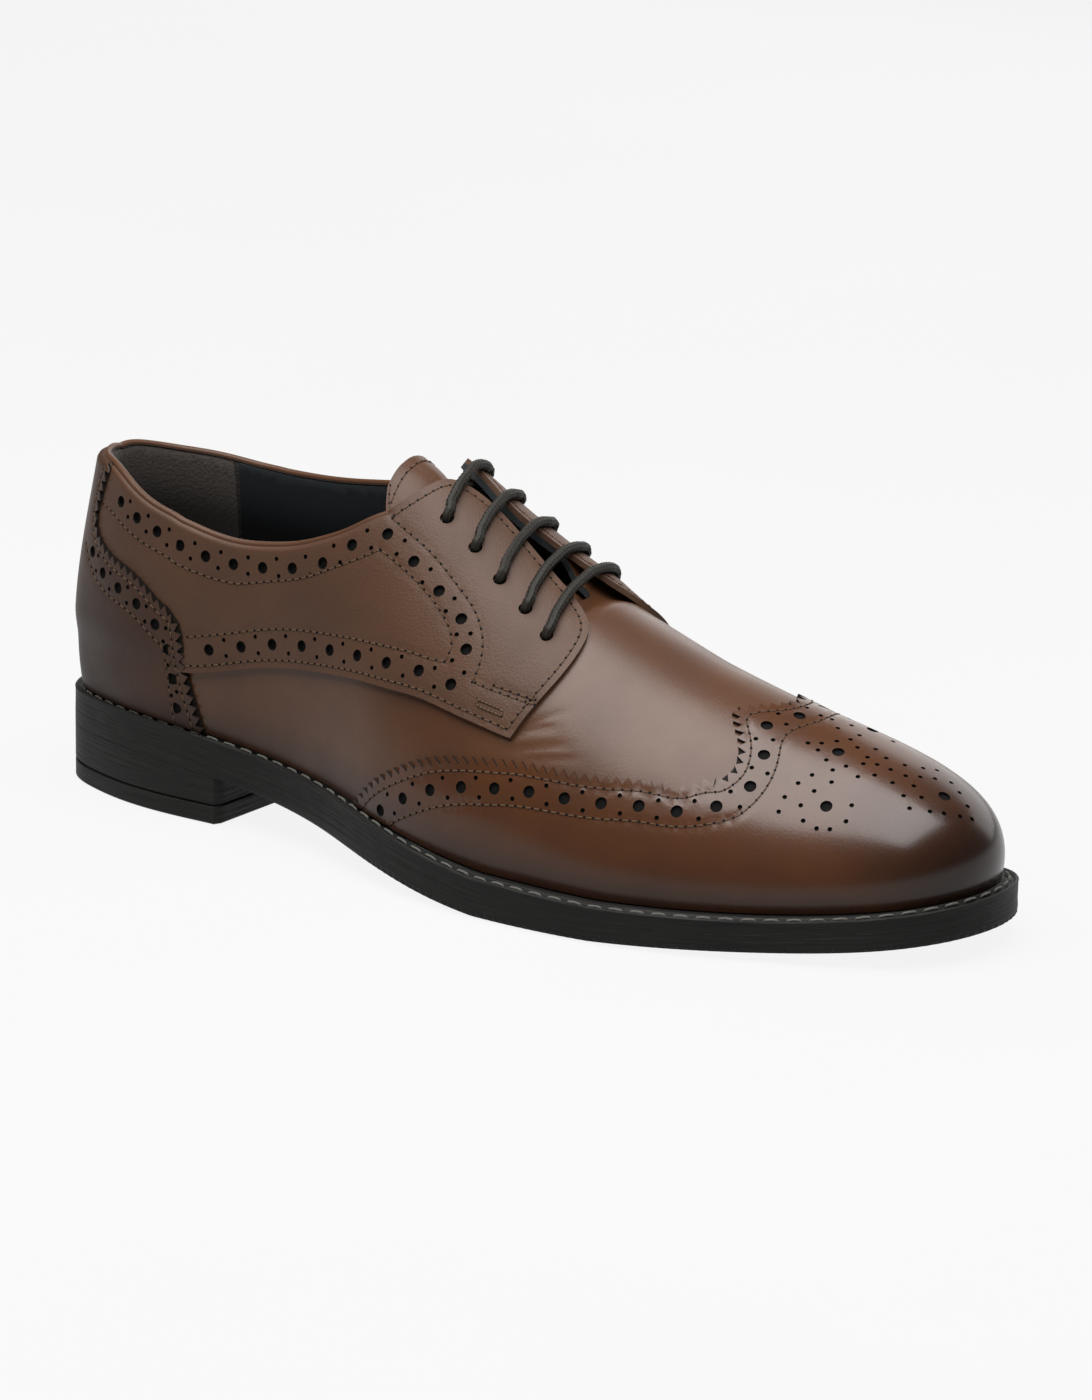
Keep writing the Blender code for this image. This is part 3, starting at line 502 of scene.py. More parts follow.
# One stitch: share of its length, then width and rise in its radius
STITCH = np.array([
    (0.0, 0.45, -0.5), (0.14, 1.0, 0.25), (0.5, 1.05, 0.45), (0.86, 1.0, 0.25), (1.0, 0.45, -0.5)])
STITCH_SIDES = 6


def new_object(name, vertices, faces, materials, face_material=None, smooth_angle=40):
    mesh = bpy.data.meshes.new(name)
    mesh.from_pydata(np.asarray(vertices, float).tolist(), [], [tuple(map(int, face)) for face in faces])
    for material in materials:
        mesh.materials.append(material)
    if face_material:
        mesh.polygons.foreach_set("material_index", np.asarray(face_material, np.int32))
    mesh.shade_smooth()
    mesh.set_sharp_from_angle(angle=math.radians(smooth_angle))
    thing = bpy.data.objects.new(name, mesh)
    bpy.context.scene.collection.objects.link(thing)
    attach(thing, "root")
    return thing


def shares(points):
    """(along, across) of flat points, for colour."""
    turn = turn_of(points)
    reaches, heights, pivot, _ = section(turn)
    down = np.hypot(points[:, 0] - pivot, points[:, 1]) - reaches[:, 3]
    return feather(turn)[:, 0] / LAST_LENGTH, down / girth(reaches, heights)[:, -1]


def smooth_step(low, high, value):
    """0 at low, 1 at high, and smooth between them."""
    t = np.clip((value - low) / (high - low), 0, 1)
    return t * t * (3 - 2 * t)


def burnish_and_painted_shade(points):
    """How far the leather is darkened: burnish at its toe and heel, painted shade low down along the welt."""
    along, across = shares(points)
    toe = smooth_step(0.88, 1.0, along) * smooth_step(0.30, 0.95, across)
    # Painted shade: the low sides along the welt are darkened.
    low_rim_shade = smooth_step(0.84, 1.0, across) * 0.55
    heel = smooth_step(0.20, 0.02, along) * smooth_step(0.35, 0.85, across) * 0.55
    return np.clip(np.maximum(np.maximum(toe, low_rim_shade), heel), 0, 1)


def relief(points):
    """Creases where the vamp bends, as a height over the last."""
    height = np.zeros(len(points))
    for begin, end, depth, width in CREASES:
        start, reach = np.array(begin), np.linalg.norm(np.subtract(end, begin))
        way = (end - start) / reach
        part = (points - start) @ way / reach
        off = (points - start) @ left_of(way)
        fade = smooth_step(-0.25, 0.25, part) * smooth_step(1.25, 0.75, part)
        height -= depth * fade * np.exp(-(off / width) ** 2)
    return height


def dip(points):
    """The vamp sinks between the facings, where it becomes the tongue."""
    inner = smooth_step(0.0150, 0.0095, np.abs(points[:, 1] - 0.002))
    along = points[:, 0] / LAST_LENGTH
    return -0.0040 * inner * smooth_step(0.606, 0.574, along) * smooth_step(0.530, 0.560, along)


def sheet_mesh(loop, cut, holes, lines, pitch):
    """Flat points and triangles of a sheet: its borders and lines are edges, the rest a triangular grid."""
    borders = [loop] + list(cut) + [hole for hole, _ in holes]
    loose = []
    for line, offsets, _ in lines:
        for offset in offsets:
            moved = refined(line) if offset == 0 else beside(line, offset)
            if len(moved) > 2:
                loose.append(moved[inside(loop, moved)])
    low_corner, high_corner = loop.min(axis=0), loop.max(axis=0)
    rows = np.arange(low_corner[1], high_corner[1], pitch * math.sqrt(3) / 2)
    columns = np.arange(low_corner[0], high_corner[0], pitch)
    grid = np.array([(x + (k % 2) * pitch / 2, y) for k, y in enumerate(rows) for x in columns])
    grid = grid[inside(loop, grid)]
    for gap in cut:
        grid = grid[~inside(gap, grid)]
    known = np.vstack(borders + [line for line in loose if len(line)])
    keep = np.ones(len(grid), bool)
    for i in range(0, len(grid), BATCH):
        apart = grid[i:i + BATCH, None] - known[None]
        keep[i:i + BATCH] = (apart ** 2).sum(-1).min(1) > (0.5 * pitch) ** 2
    for hole, _ in holes:
        middle, reach = middle_and_reach(hole)
        keep &= np.linalg.norm(grid - middle, axis=1) > 1.05 * reach
    points, edges, owner = [], [], []
    for k, border in enumerate(borders):
        start = len(points)
        points += border.tolist()
        owner += [k] * len(border)
        edges += [(start + i, start + (i + 1) % len(border)) for i in range(len(border))]
    for line in loose:
        start = len(points)
        points += line.tolist()
        steps = np.linalg.norm(np.diff(line, axis=0), axis=1)
        edges += [(start + i, start + i + 1) for i in range(len(line) - 1) if steps[i] < LONGEST_STEP]
    points += grid[keep].tolist()
    owner += [-1] * (len(points) - len(owner))
    found = delaunay_2d_cdt([Vector(point) * 1000 for point in points], edges, [], 0, 1e-4)
    flat_points = np.array([tuple(point) for point in found[0]]) / 1000
    triangles = np.array([tuple(face) for face in found[2]])
    whose = np.array([max([owner[i] for i in source], default=-1) for source in found[3]])
    middles = flat_points[triangles].mean(axis=1)
    shown = inside(loop, middles)
    for gap in cut:
        shown &= ~inside(gap, middles)
    corner = whose[triangles]
    in_hole = (corner[:, 0] > len(cut)) & (corner[:, 0] == corner[:, 1]) & (corner[:, 1] == corner[:, 2])
    used, triangles = np.unique(triangles[shown & ~in_hole], return_inverse=True)
    return flat_points[used], triangles.reshape(-1, 3)


def middle_and_reach(hole):
    middle = hole.mean(axis=0)
    return middle, np.linalg.norm(hole - middle, axis=1).max()


def free_edges(triangles):
    """Edges that only one triangle has, in the order and direction of their triangles."""
    edges = {}
    for a, b, c in triangles:
        for edge in ((a, b), (b, c), (c, a)):
            if (edge[1], edge[0]) in edges:
                del edges[edge[1], edge[0]]
            else:
                edges[edge] = True
    return list(edges)


def small_rings(edges):
    """Closed rings of fewer than MOST_CORNERS edges, which are the holes."""
    after = dict(edges)
    seen = set()
    for start in list(after):
        if start in seen:
            continue
        ring = [start]
        while after.get(ring[-1]) not in (None, start) and len(ring) < MOST_CORNERS:
            ring.append(after[ring[-1]])
        seen.update(ring)
        if after.get(ring[-1]) == start and len(ring) < MOST_CORNERS:
            yield ring


def panel(name, loop, height, low, materials, lines=(), holes=(), pitch=0.0016, extra=None, cut=()):
    """Sheet of leather over a flat loop, from height to low above the last, with walls at its edge and holes.

    lines holds (polyline, offsets, profile): the polyline and its parallels become edges of the mesh, and
    profile turns the distance to it into a change of height. holes holds (loop, depth). The first material
    covers the face, the second the walls and the last one the holes.
    """
    flat_points, triangles = sheet_mesh(loop, cut, holes, lines, pitch)
    high = np.full(len(flat_points), float(height))
    for line, _, profile in lines:
        high += profile(distance_to(line, flat_points))
    high += relief(flat_points)
    border = free_edges(triangles)
    ring = np.unique(np.array(border).ravel())
    count = len(flat_points)
    place = {vertex: count + i for i, vertex in enumerate(ring)}
    depth = np.full(len(ring), float(low))
    holed = np.zeros(count, bool)
    for hole, hole_depth in holes:
        middle, reach = middle_and_reach(hole)
        near = np.linalg.norm(flat_points[ring] - middle, axis=1) < 1.1 * reach
        depth[near] = height - hole_depth
        holed[ring[near]] = True
    if extra is not None:
        high += extra(flat_points)
        depth += extra(flat_points[ring])
    vertices = np.vstack([lifted(flat_points, high), lifted(flat_points[ring], depth)])
    # Walls and floors of the holes take the last material, painted near-black as their shade.
    wall_paint, hole_paint = min(1, len(materials) - 1), len(materials) - 1
    faces = [tuple(face) for face in triangles] + [(b, a, place[a], place[b]) for a, b in border]
    paint = [0] * len(triangles) + [hole_paint if holed[a] else wall_paint for a, _ in border]
    if holes:
        for chain in small_rings(border):
            faces.append([place[vertex] for vertex in chain[::-1]])
            paint.append(hole_paint)
    thing = new_object(name, vertices, faces, materials, paint)
    # Attribute that darkens the colour: burnish at toe and heel, painted shade low down.
    shade = thing.data.attributes.new("burnish_and_painted_shade", "FLOAT", "POINT")
    dark = np.concatenate([burnish_and_painted_shade(flat_points), burnish_and_painted_shade(flat_points[ring])])
    shade.data.foreach_set("value", dark.astype(np.float32))
    return thing


def tube_faces(rings, sides, first=0):
    """Faces of a tube with flat ends, whose vertices run ring by ring from index first."""
    faces = [(k + j, k + (j + 1) % sides, k + (j + 1) % sides + sides, k + j + sides)
             for k in range(first, first + (rings - 1) * sides, sides) for j in range(sides)]
    end = first + (rings - 1) * sides
    return faces + [tuple(range(first, first + sides))[::-1], tuple(range(end, end + sides))]


threads, pinholes = [], []


def seam(place, normal, pitch, length, radius):
    """Adds stitches along a line of places to the threads, and a disc between each two to the pinholes."""
    run = run_along(place)
    count = int(run[-1] // pitch)
    if count < 1:
        return

    def frame_at(at):
        ahead = unit(at_run(at + 0.0002, run, place) - at_run(at - 0.0002, run, place))
        up = at_run(at, run, normal)
        return at_run(at, run, place), up, ahead, np.cross(up, ahead)

    step = run[-1] / count
    start = (np.arange(count) + 0.5) * step - length / 2
    share_at, wide, rise = STITCH.T
    angle = np.arange(STITCH_SIDES) * math.tau / STITCH_SIDES
    cos, sin = np.cos(angle)[:, None], np.sin(angle)[:, None]
    middle, up, _, side = frame_at(start[:, None] + share_at * length)
    middle = middle + up * (rise * radius)[:, None]
    ring = cos * side[:, :, None] + 0.8 * sin * up[:, :, None]
    threads.append((middle[:, :, None] + (wide * radius)[:, None, None] * ring).reshape(-1, 3))
    middle, up, ahead, side = frame_at(np.arange(count + 1) * step)
    disc = cos * side[:, None] + 1.1 * sin * ahead[:, None]
    pinholes.append(((middle + up * 0.00005)[:, None] + PIN_RADIUS * disc).reshape(-1, 3))


MIX_FIRST, MIX_SECOND, MIX_COLOUR = 6, 7, 2      # sockets of a colour mix: its two colours and its result


def shader(name, colour, roughness, coat=0.0, coat_roughness=0.2, sheen=0.0, specular=0.5):
    material = bpy.data.materials.new(name)
    material.use_nodes = True
    node = material.node_tree.nodes["Principled BSDF"]
    node.inputs["Base Color"].default_value = (*colour, 1)
    node.inputs["Roughness"].default_value = roughness
    node.inputs["Coat Weight"].default_value = coat
    node.inputs["Coat Roughness"].default_value = coat_roughness
    node.inputs["Sheen Weight"].default_value = sheen
    node.inputs["Specular IOR Level"].default_value = specular
    return material, node


def add(material, kind, **inputs):
    node = material.node_tree.nodes.new(kind)
    for key, value in inputs.items():
        node.inputs[key.replace("_", " ")].default_value = value
    return node


def mixed(material, first, second):
    """Node that mixes two colours, either of them given later by a link if it is None."""
    node = material.node_tree.nodes.new("ShaderNodeMix")
    node.data_type = "RGBA"
    for socket, colour in ((MIX_FIRST, first), (MIX_SECOND, second)):
        if colour is not None:
            node.inputs[socket].default_value = (*colour, 1)
    return node


# Reads the attribute that darkens the colour: burnish and painted shade on the leather, painted shade on the
# linings.
def burnish_and_shade_of(material):
    node = material.node_tree.nodes.new("ShaderNodeAttribute")
    node.attribute_name = "burnish_and_painted_shade"
    return node.outputs["Fac"]


def bumps(material, node, layers, vector=None):
    """Chain of bumps: layers holds (texture node, its output, strength, distance in metres)."""
    links = material.node_tree.links
    previous = None
    for texture, output, strength, distance in layers:
        bump = add(material, "ShaderNodeBump", Strength=strength, Distance=distance)
        if vector is not None:
            links.new(vector, texture.inputs["Vector"])
        links.new(texture.outputs[output], bump.inputs["Height"])
        if previous is not None:
            links.new(previous.outputs["Normal"], bump.inputs["Normal"])
        previous = bump
    links.new(previous.outputs["Normal"], node.inputs["Normal"])


def leather(name, light, dark, roughness, coat, grain=0.35, burnished=True, specular=0.20):
    """Finished calf leather: mottled colour, darker with burnish and painted shade, fine grain and a wax
    coat.
    """
    material, node = shader(name, light, roughness, coat=coat, coat_roughness=roughness - 0.08,
                            specular=specular)
    links = material.node_tree.links
    where = add(material, "ShaderNodeTexCoord").outputs["Object"]
    cloud = add(material, "ShaderNodeTexNoise", Scale=38.0, Detail=4.0, Roughness=0.55)
    pore = add(material, "ShaderNodeTexVoronoi", Scale=1500.0)
    fine = add(material, "ShaderNodeTexNoise", Scale=2600.0, Detail=3.0)
    wave = add(material, "ShaderNodeTexNoise", Scale=160.0, Detail=3.0)
    links.new(where, cloud.inputs["Vector"])
    ramp = add(material, "ShaderNodeMapRange", From_Min=0.35, From_Max=0.68, To_Min=0.0, To_Max=0.28)
    links.new(cloud.outputs["Fac"], ramp.inputs["Value"])
    total = material.node_tree.nodes.new("ShaderNodeMath")
    total.operation = "ADD"
    total.use_clamp = True
    links.new(ramp.outputs["Result"], total.inputs[0])
    total.inputs[1].default_value = 0.0
    # The attribute adds the burnish and the painted shade to the darkening.
    if burnished:
        links.new(burnish_and_shade_of(material), total.inputs[1])
    mix = mixed(material, light, dark)
    links.new(total.outputs[0], mix.inputs[0])
    links.new(mix.outputs[MIX_COLOUR], node.inputs["Base Color"])
    shine = add(material, "ShaderNodeMapRange", From_Min=0.3, From_Max=0.7, To_Min=roughness - 0.05,
                To_Max=roughness + 0.06)
    links.new(cloud.outputs["Fac"], shine.inputs["Value"])
    links.new(shine.outputs["Result"], node.inputs["Roughness"])
    bumps(material, node, [(pore, "Distance", grain, 0.00012), (fine, "Fac", grain * 0.6, 0.00006),
                           (wave, "Fac", grain * 0.35, 0.00025)], where)
    return material


def plain(name, colour, roughness, scale, strength, distance, deep=None, **more):
    """Material with one noise for its bump and some change of colour; deep is its colour in full painted
    shade.
    """
    material, node = shader(name, colour, roughness, **more)
    links = material.node_tree.links
    where = add(material, "ShaderNodeTexCoord").outputs["Object"]
    noise = add(material, "ShaderNodeTexNoise", Scale=scale, Detail=4.0)
    links.new(where, noise.inputs["Vector"])
    mix = mixed(material, [part * 0.75 for part in colour], [part * 1.25 for part in colour])
    links.new(noise.outputs["Fac"], mix.inputs[0])
    shown = mix.outputs[MIX_COLOUR]
    # Darkens towards the last colour where the attribute is high: painted shade.
    if deep:
        fade = mixed(material, None, deep)
        links.new(shown, fade.inputs[MIX_FIRST])
        links.new(burnish_and_shade_of(material), fade.inputs[0])
        shown = fade.outputs[MIX_COLOUR]
    links.new(shown, node.inputs["Base Color"])
    bumps(material, node, [(noise, "Fac", strength, distance)], where)
    return material


def sole_rubber(name, colour, roughness):
    """Moulded black rubber with the fine horizontal lines of a trimmed edge; its UVs are in metres."""
    material, node = shader(name, colour, roughness, specular=0.14)
    links = material.node_tree.links
    where = add(material, "ShaderNodeTexCoord").outputs["UV"]
    stretch = add(material, "ShaderNodeMapping", Scale=(40.0, 1050.0, 1.0))
    links.new(where, stretch.inputs["Vector"])
    streak = add(material, "ShaderNodeTexNoise", Scale=1.0, Detail=3.0, Roughness=0.6)
    links.new(stretch.outputs["Vector"], streak.inputs["Vector"])
    mix = mixed(material, [part * 0.2 for part in colour], [part * 2.2 for part in colour])
    links.new(streak.outputs["Fac"], mix.inputs[0])
    links.new(mix.outputs[MIX_COLOUR], node.inputs["Base Color"])
    bumps(material, node, [(streak, "Fac", 0.9, 0.0006)])
    return material


# Creases of the vamp, laid out flat: start, end, depth, half width
CREASES = [
    ((0.172, -0.056), (0.186, -0.046), 0.00022, 0.0012),
    ((0.176, -0.058), (0.191, -0.049), 0.00018, 0.0011),
    ((0.181, -0.058), (0.195, -0.051), 0.00014, 0.0010),
    ((0.178, -0.050), (0.188, -0.040), 0.00016, 0.0010)]

PERK = 0.0026            # rise of the inner facing at its front end
PERK_MORE = 0.0013       # and further at its top
INNER_SHIFT = (0.0065, 0.0046)    # inner eyelets behind their places and nearer to the throat
LINING_SEAM = 0.112 * LAST_LENGTH
ROLL_RADIUS = 0.0011     # rolled edge of the collar

# Holes: radii, the small ones' distance from the row of large ones, depths
BIG_HOLE = 0.0017
SMALL_HOLE = 0.00068
SMALL_OUT = 0.0023
EYELET = 0.0019
QUARTER_DEPTH = (0.0012, 0.0009)
OVERLAY_DEPTH = (0.0008, 0.0007)
EYELET_DEPTH = 0.0015
COUNTER_PITCH = 0.0088
CAP_PITCH = 0.0106
TOOTH_PITCH = 0.0031
TOOTH = 0.0022
STITCH_PITCH = 0.0026
STITCH_LENGTH = 0.0017
THREAD_RADIUS = 0.00022
# The discs are painted shade of the needle holes.
PIN_RADIUS = 0.00040     # dark discs between the stitches
THREAD_SINK = 0.00015    # stitches lie this deep in their groove

# Distance of first stitches, holes and second stitches from the edge beside them
BAND_ROWS = (0.0020, 0.0062, 0.0116)
LOW_BAND_ROWS = (0.0020, 0.0063, 0.0104)
COUNTER_ROWS = (0.0030, 0.0070, 0.0113)
CAP_ROWS = (0.0030, 0.0068, 0.0108)

FACING_STITCH = [
    (0.400, 0.210), (0.425, 0.245), (0.460, 0.275), (0.485, 0.297), (0.508, 0.318), (0.524, 0.353),
    (0.532, 0.390), (0.536, 0.440), (0.535, 0.500)]
WINDOW_STITCH = [
    (0.403, 0.308), (0.433, 0.341), (0.456, 0.361), (0.476, 0.380), (0.494, 0.406), (0.502, 0.430),
    (0.504, 0.460), (0.502, 0.495)]
CORNER_STITCH = [(0.263, 0.454), (0.316, 0.417), (0.353, 0.373), (0.382, 0.337), (0.402, 0.306)]
BAND_HOLES = [
    (0.373, 0.294), (0.405, 0.262), (0.440, 0.312), (0.474, 0.344), (0.504, 0.368), (0.519, 0.430),
    (0.515, 0.538), (0.478, 0.558)]
DOUBLE_STITCH = [(0.538, 0.497), (0.553, 0.492), (0.575, 0.484), (0.600, 0.478)]
BAR_TACK = [(0.546, 0.543), (0.573, 0.537)]

# Medallion: where its rear large hole lies, laid out flat, then its holes along its axis and to each side
# of it, in millimetres
MEDALLION_START = np.array([0.2575, -0.0140])
MEDALLION_AXIS = np.array([0.976, 0.217])
MEDALLION_BIG = [(0, 0), (32, 0), (3.5, 18.5)]
MEDALLION_SMALL = [
    (-9, 0), (11.5, 0), (15.5, 0), (20, 0), (41.5, 0), (-5.5, 1.5), (-2, 4.2), (1, 7), (4, 4.4), (8, 1.6),
    (8.5, 6.8), (12.5, 4.4), (18, 4.7), (23.5, 2.5), (22.5, 7.5), (27, 5.2), (25.7, 10.4), (31, 8),
    (34.5, 5.8), (38.5, 2.8), (-4, 10.5), (2.2, 11), (-7, 14.2), (-1.6, 15.2), (-9.5, 19.3), (-4, 20.4),
    (10.5, 16), (-10, 23.8), (-1.8, 24.4), (3, 25.3), (7, 24.3), (10.8, 20.8)]


def groove(distance):
    """Line pressed into the leather by a seam."""
    return -0.00020 * np.exp(-(distance / 0.0006) ** 2)


def unchanged(distance):
    return 0 * distance


def rolled(height, target, reach=0.0016):
    """Rounds an edge from height to target over reach."""
    def profile(distance):
        part = np.clip(distance / reach, 0, 1)
        return (target - height) * (1 - np.sqrt(1 - (1 - part) ** 2))
    return profile


# Lines in the mesh beside a rolled edge
ROLL = (0.00015, -0.00015, 0.0004, -0.0004, 0.0009, -0.0009, 0.0016, -0.0016)

# Each leather's second colour is where the burnish and the painted shade are full.
tan_leather = ((0.066, 0.027, 0.0115), (0.014, 0.006, 0.0035))
calf = leather("calf", *tan_leather, roughness=0.36, coat=0.20, grain=0.22)
calf_quarter = leather("calf_quarter", (0.062, 0.029, 0.0155), (0.020, 0.009, 0.006),
                       roughness=0.50, coat=0.04, grain=0.55)
calf_cap = leather("calf_cap", (0.060, 0.022, 0.0085), (0.012, 0.005, 0.003),
                   roughness=0.28, coat=0.30, grain=0.16)
calf_counter = leather("calf_counter", (0.046, 0.022, 0.013), (0.012, 0.007, 0.006),
                       roughness=0.42, coat=0.05, grain=0.30, specular=0.12)
calf_plain = leather("calf_plain", *tan_leather, roughness=0.44, coat=0.08, grain=0.35, burnished=False)
# Near-black: the dyed cut edges, and painted shade in the valleys under pinked edges.
edge_dye_and_valley_shade = plain("edge_dye_and_valley_shade", (0.008, 0.0055, 0.004), 0.80, 900.0, 0.5, 0.0002, specular=0.15)
raw_edge = plain("raw_edge", (0.060, 0.030, 0.017), 0.60, 900.0, 0.5, 0.0002, specular=0.25)
# Near-black inside the punched holes and on the discs at the stitches: painted shade of their depth.
painted_hole_shade = plain("painted_hole_shade", (0.0045, 0.0042, 0.0040), 0.9, 900.0, 0.3, 0.0002, specular=0.1)
# The last colours of the two linings are painted shade, which they take deep inside the shoe.
slate = plain("slate_lining", (0.019, 0.022, 0.024), 0.38, 1200.0, 0.25, 0.0001, specular=0.35,
              deep=(0.004, 0.004, 0.0045))
suede = plain("suede_lining", (0.062, 0.052, 0.046), 0.95, 1100.0, 0.9, 0.0004, specular=0.1, sheen=0.15,
              deep=(0.006, 0.0045, 0.0035))
thread = plain("thread", (0.072, 0.040, 0.021), 0.65, 2500.0, 0.6, 0.0001, specular=0.2)
pale_thread = plain("pale_thread", (0.078, 0.075, 0.066), 0.65, 1800.0, 0.8, 0.0002, specular=0.2)
cord = plain("waxed_cord", (0.0110, 0.0090, 0.0062), 0.55, 2600.0, 0.9, 0.0002, specular=0.22)
rubber = sole_rubber("sole_rubber", (0.0072, 0.0069, 0.0064), 0.55)
insole_skin = plain("insole_skin", (0.008, 0.0075, 0.008), 0.60, 900.0, 0.4, 0.0002, specular=0.15)


def sew(rows, loop, pitch=STITCH_PITCH, length=STITCH_LENGTH, radius=THREAD_RADIUS, rolled_edge=None):
    """Adds stitches along the parts of the rows that lie inside a loop, clear of its rolled edge.

    rows holds (flat line, its height over the last or a function that gives it).
    """
    for line, height in rows:
        line = refined(line, 0.0006)
        sewn = inside(loop, line)
        if rolled_edge is not None:
            sewn &= distance_to(rolled_edge, line) > 0.0022
        kept = np.flatnonzero(sewn)
        for part in np.split(kept, np.flatnonzero(np.diff(kept) > 1) + 1):
            if len(part) > 6:
                row = line[part]
                over = height(row) if callable(height) else height
                seam(lifted(row, over + relief(row)), normal_at(row), pitch, length, radius)


def pierced(big, small, depths):
    """Large and small holes about flat places."""
    return ([(round_loop(place, BIG_HOLE, 14), depths[0]) for place in big]
            + [(round_loop(place, SMALL_HOLE, 8), depths[1]) for place in small])


def closed_loop(*pieces):
    """Loop through the pieces in order, without doubled points."""
    points = np.vstack(pieces)
    return points[np.linalg.norm(points - np.roll(points, 1, axis=0), axis=1) > 0.0002]


def perk(points):
    """The inner facing stands up over the instep, most at its top, with its crest at the eyelets."""
    off = points[..., 1] - 0.0165
    inner = 0.0095 + 0.0075 * smooth_step(0.145, 0.126, points[..., 0])
    hump = np.exp(-(off / np.where(off < 0, inner, 0.0095)) ** 2)
    along = points[..., 0] / LAST_LENGTH
    size = PERK + PERK_MORE * smooth_step(0.172, 0.138, points[..., 0])
    return size * hump * smooth_step(0.370, 0.405, along) * smooth_step(0.620, 0.560, along)


def sunk_or_raised(points):
    return dip(points) + perk(points)


# The vamp and the wall under the overlays
opening = closed_loop(dense(COLLAR_LATERAL + FACING_TOP[-1] + THROAT[:-1] + THROAT_END),
                      dense(COLLAR_MEDIAL + FACING_TOP[1] + THROAT[:-1] + THROAT_END, 1)[::-1])
base = feather_edge(0, 1 - 0.0015 / feather_length, 0.0002)
collar = {-1: dense(COLLAR_LATERAL, -1), 1: dense(COLLAR_MEDIAL, 1)}
topline = np.vstack([collar[-1][::-1], collar[1][1:]])
eyelets = {sign: [flat(np.array(along), np.array(sign * across)) for along, across in LACE_ROWS]
           for sign in (-1, 1)}
eyelets[1] = [place - INNER_SHIFT for place in eyelets[1]]
folds = [(refined(np.array([start, end])), (0.0, half, -half, 2 * half, -2 * half), unchanged)
         for start, end, _, half in CREASES]
vamp = panel("vamp", base, 0.0, -WALL, [calf, slate], cut=[opening], extra=sunk_or_raised,
             lines=[(topline, (), rolled(0.0, -0.0012, 0.0015))] + folds)
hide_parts("upper")


def limited(line, low, high):
    """The points of a flat line whose first coordinate lies between two values."""
    return line[(line[:, 0] > low) & (line[:, 0] < high)]


# Quarters
for side, sign in (("lateral", -1), ("medial", 1)):
    lie = perk if sign > 0 else lambda points: 0.0 * points[..., 0]
    topline_table = np.array({-1: COLLAR_LATERAL, 1: COLLAR_MEDIAL}[sign])
    rim_across = float(np.interp(0.038, *topline_table.T))
    back = dense([(along - 0.018, across) for along, across in COUNTER_EDGE if 0.2 < across < 0.8], sign)
    front_line = dense([tuple(topline_table[-1])] + FACING_TOP[sign] + THROAT + FRONT_EDGE, sign)
    low_line = dense(FRONT_EDGE[-1:] + QUARTER_BOTTOM + [(0.172, 0.800)], sign)
    collar_places = [tuple(place) for place in topline_table if place[0] > 0.042]
    collar_part = dense([(0.038, rim_across)] + collar_places, sign)
    loop = closed_loop(collar_part, front_line, low_line, back)
    edge_stitch = beside(refined(np.vstack([front_line, low_line])), sign * BAND_ROWS[0])
    under_collar = beside(collar_part, sign * BAND_ROWS[2], 12)
    corner = flat(0.245, sign * 0.45)[0]
    before_corner = under_collar[under_collar[:, 0] < corner]
    collar_stitch = refined(np.vstack([before_corner, dense(CORNER_STITCH, sign)]))
    window = dense(WINDOW_STITCH, sign)
    over_band = beside(dense(QUARTER_BOTTOM, sign), sign * LOW_BAND_ROWS[2], 12)
    window_end = window[-1]
    over_band = refined(np.vstack([window_end, over_band[over_band[:, 0] < window_end[0] - 0.004]]))
    facing_stitch = dense(FACING_STITCH, sign)
    double = dense(DOUBLE_STITCH, sign)
    second = beside(double, 0.0013)
    seams = [edge_stitch, collar_stitch, over_band, window, facing_stitch, double, second[len(second) // 3:]]
    first = limited(beside(collar_part, sign * BAND_ROWS[1], 12),
                    flat(0.086, sign * 0.26)[0], flat(0.360, sign * 0.3)[0])
    last = limited(beside(dense(QUARTER_BOTTOM, sign), sign * LOW_BAND_ROWS[1], 12),
                   flat(0.209, sign * 0.68)[0], flat(0.465, sign * 0.5)[0])
    placed = [flat(along, sign * across) for along, across in BAND_HOLES]
    run_in = refined(np.vstack([first, placed[0], placed[1]]), 0.0006)
    run_out = refined(np.vstack([placed[-1], last]), 0.0006)
    big = hole_row(run_in, count=10, bias=0.045)[0] + placed[2:-1] + hole_row(run_out, count=7)[0]
    holes = pierced(big, small_pairs(big, SMALL_OUT), QUARTER_DEPTH)
    holes += [(round_loop(place, EYELET, 16), EYELET_DEPTH) for place in eyelets[sign]]
    lines = [(line, (0,), groove) for line in seams] + [(collar_part, ROLL, rolled(QUARTER, -0.0006))]
    quarter = panel("quarter_" + side + "_leather", loop, QUARTER, 0.0, [calf_quarter, raw_edge, painted_hole_shade],
                    extra=lie, lines=lines, holes=holes)
    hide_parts("quarter_" + side)
    sew([(line, lambda points: QUARTER - THREAD_SINK + lie(points)) for line in seams], loop,
        rolled_edge=collar_part)
    tack = dense(BAR_TACK, sign)
    pill = np.vstack([beside(tack, 0.0008), beside(tack, -0.0008)[::-1]])
    sew([(refined(np.vstack([pill, pill[:1]])), QUARTER + 0.0001)], loop,
        pitch=0.0012, length=0.0014, radius=0.00026)


def valley_shade_strip(name, line, side, height):
    """Near-black strip under a pinked edge, from behind its valleys to its points: painted shade in the
    valleys.
    """
    line = refined(line, 0.0010)
    out = side * left_of(unit(np.gradient(line, axis=0)))
    rows = [line - out * 0.0019, line - out * 0.0007, line + out * 0.0004]
    vertices = np.vstack([lifted(row, height(row)) for row in rows])
    count = len(line)
    faces = [(k * count + i, k * count + i + 1, (k + 1) * count + i + 1, (k + 1) * count + i)
             for k in range(2) for i in range(count - 1)]
    return new_object(name, vertices, faces, [edge_dye_and_valley_shade])


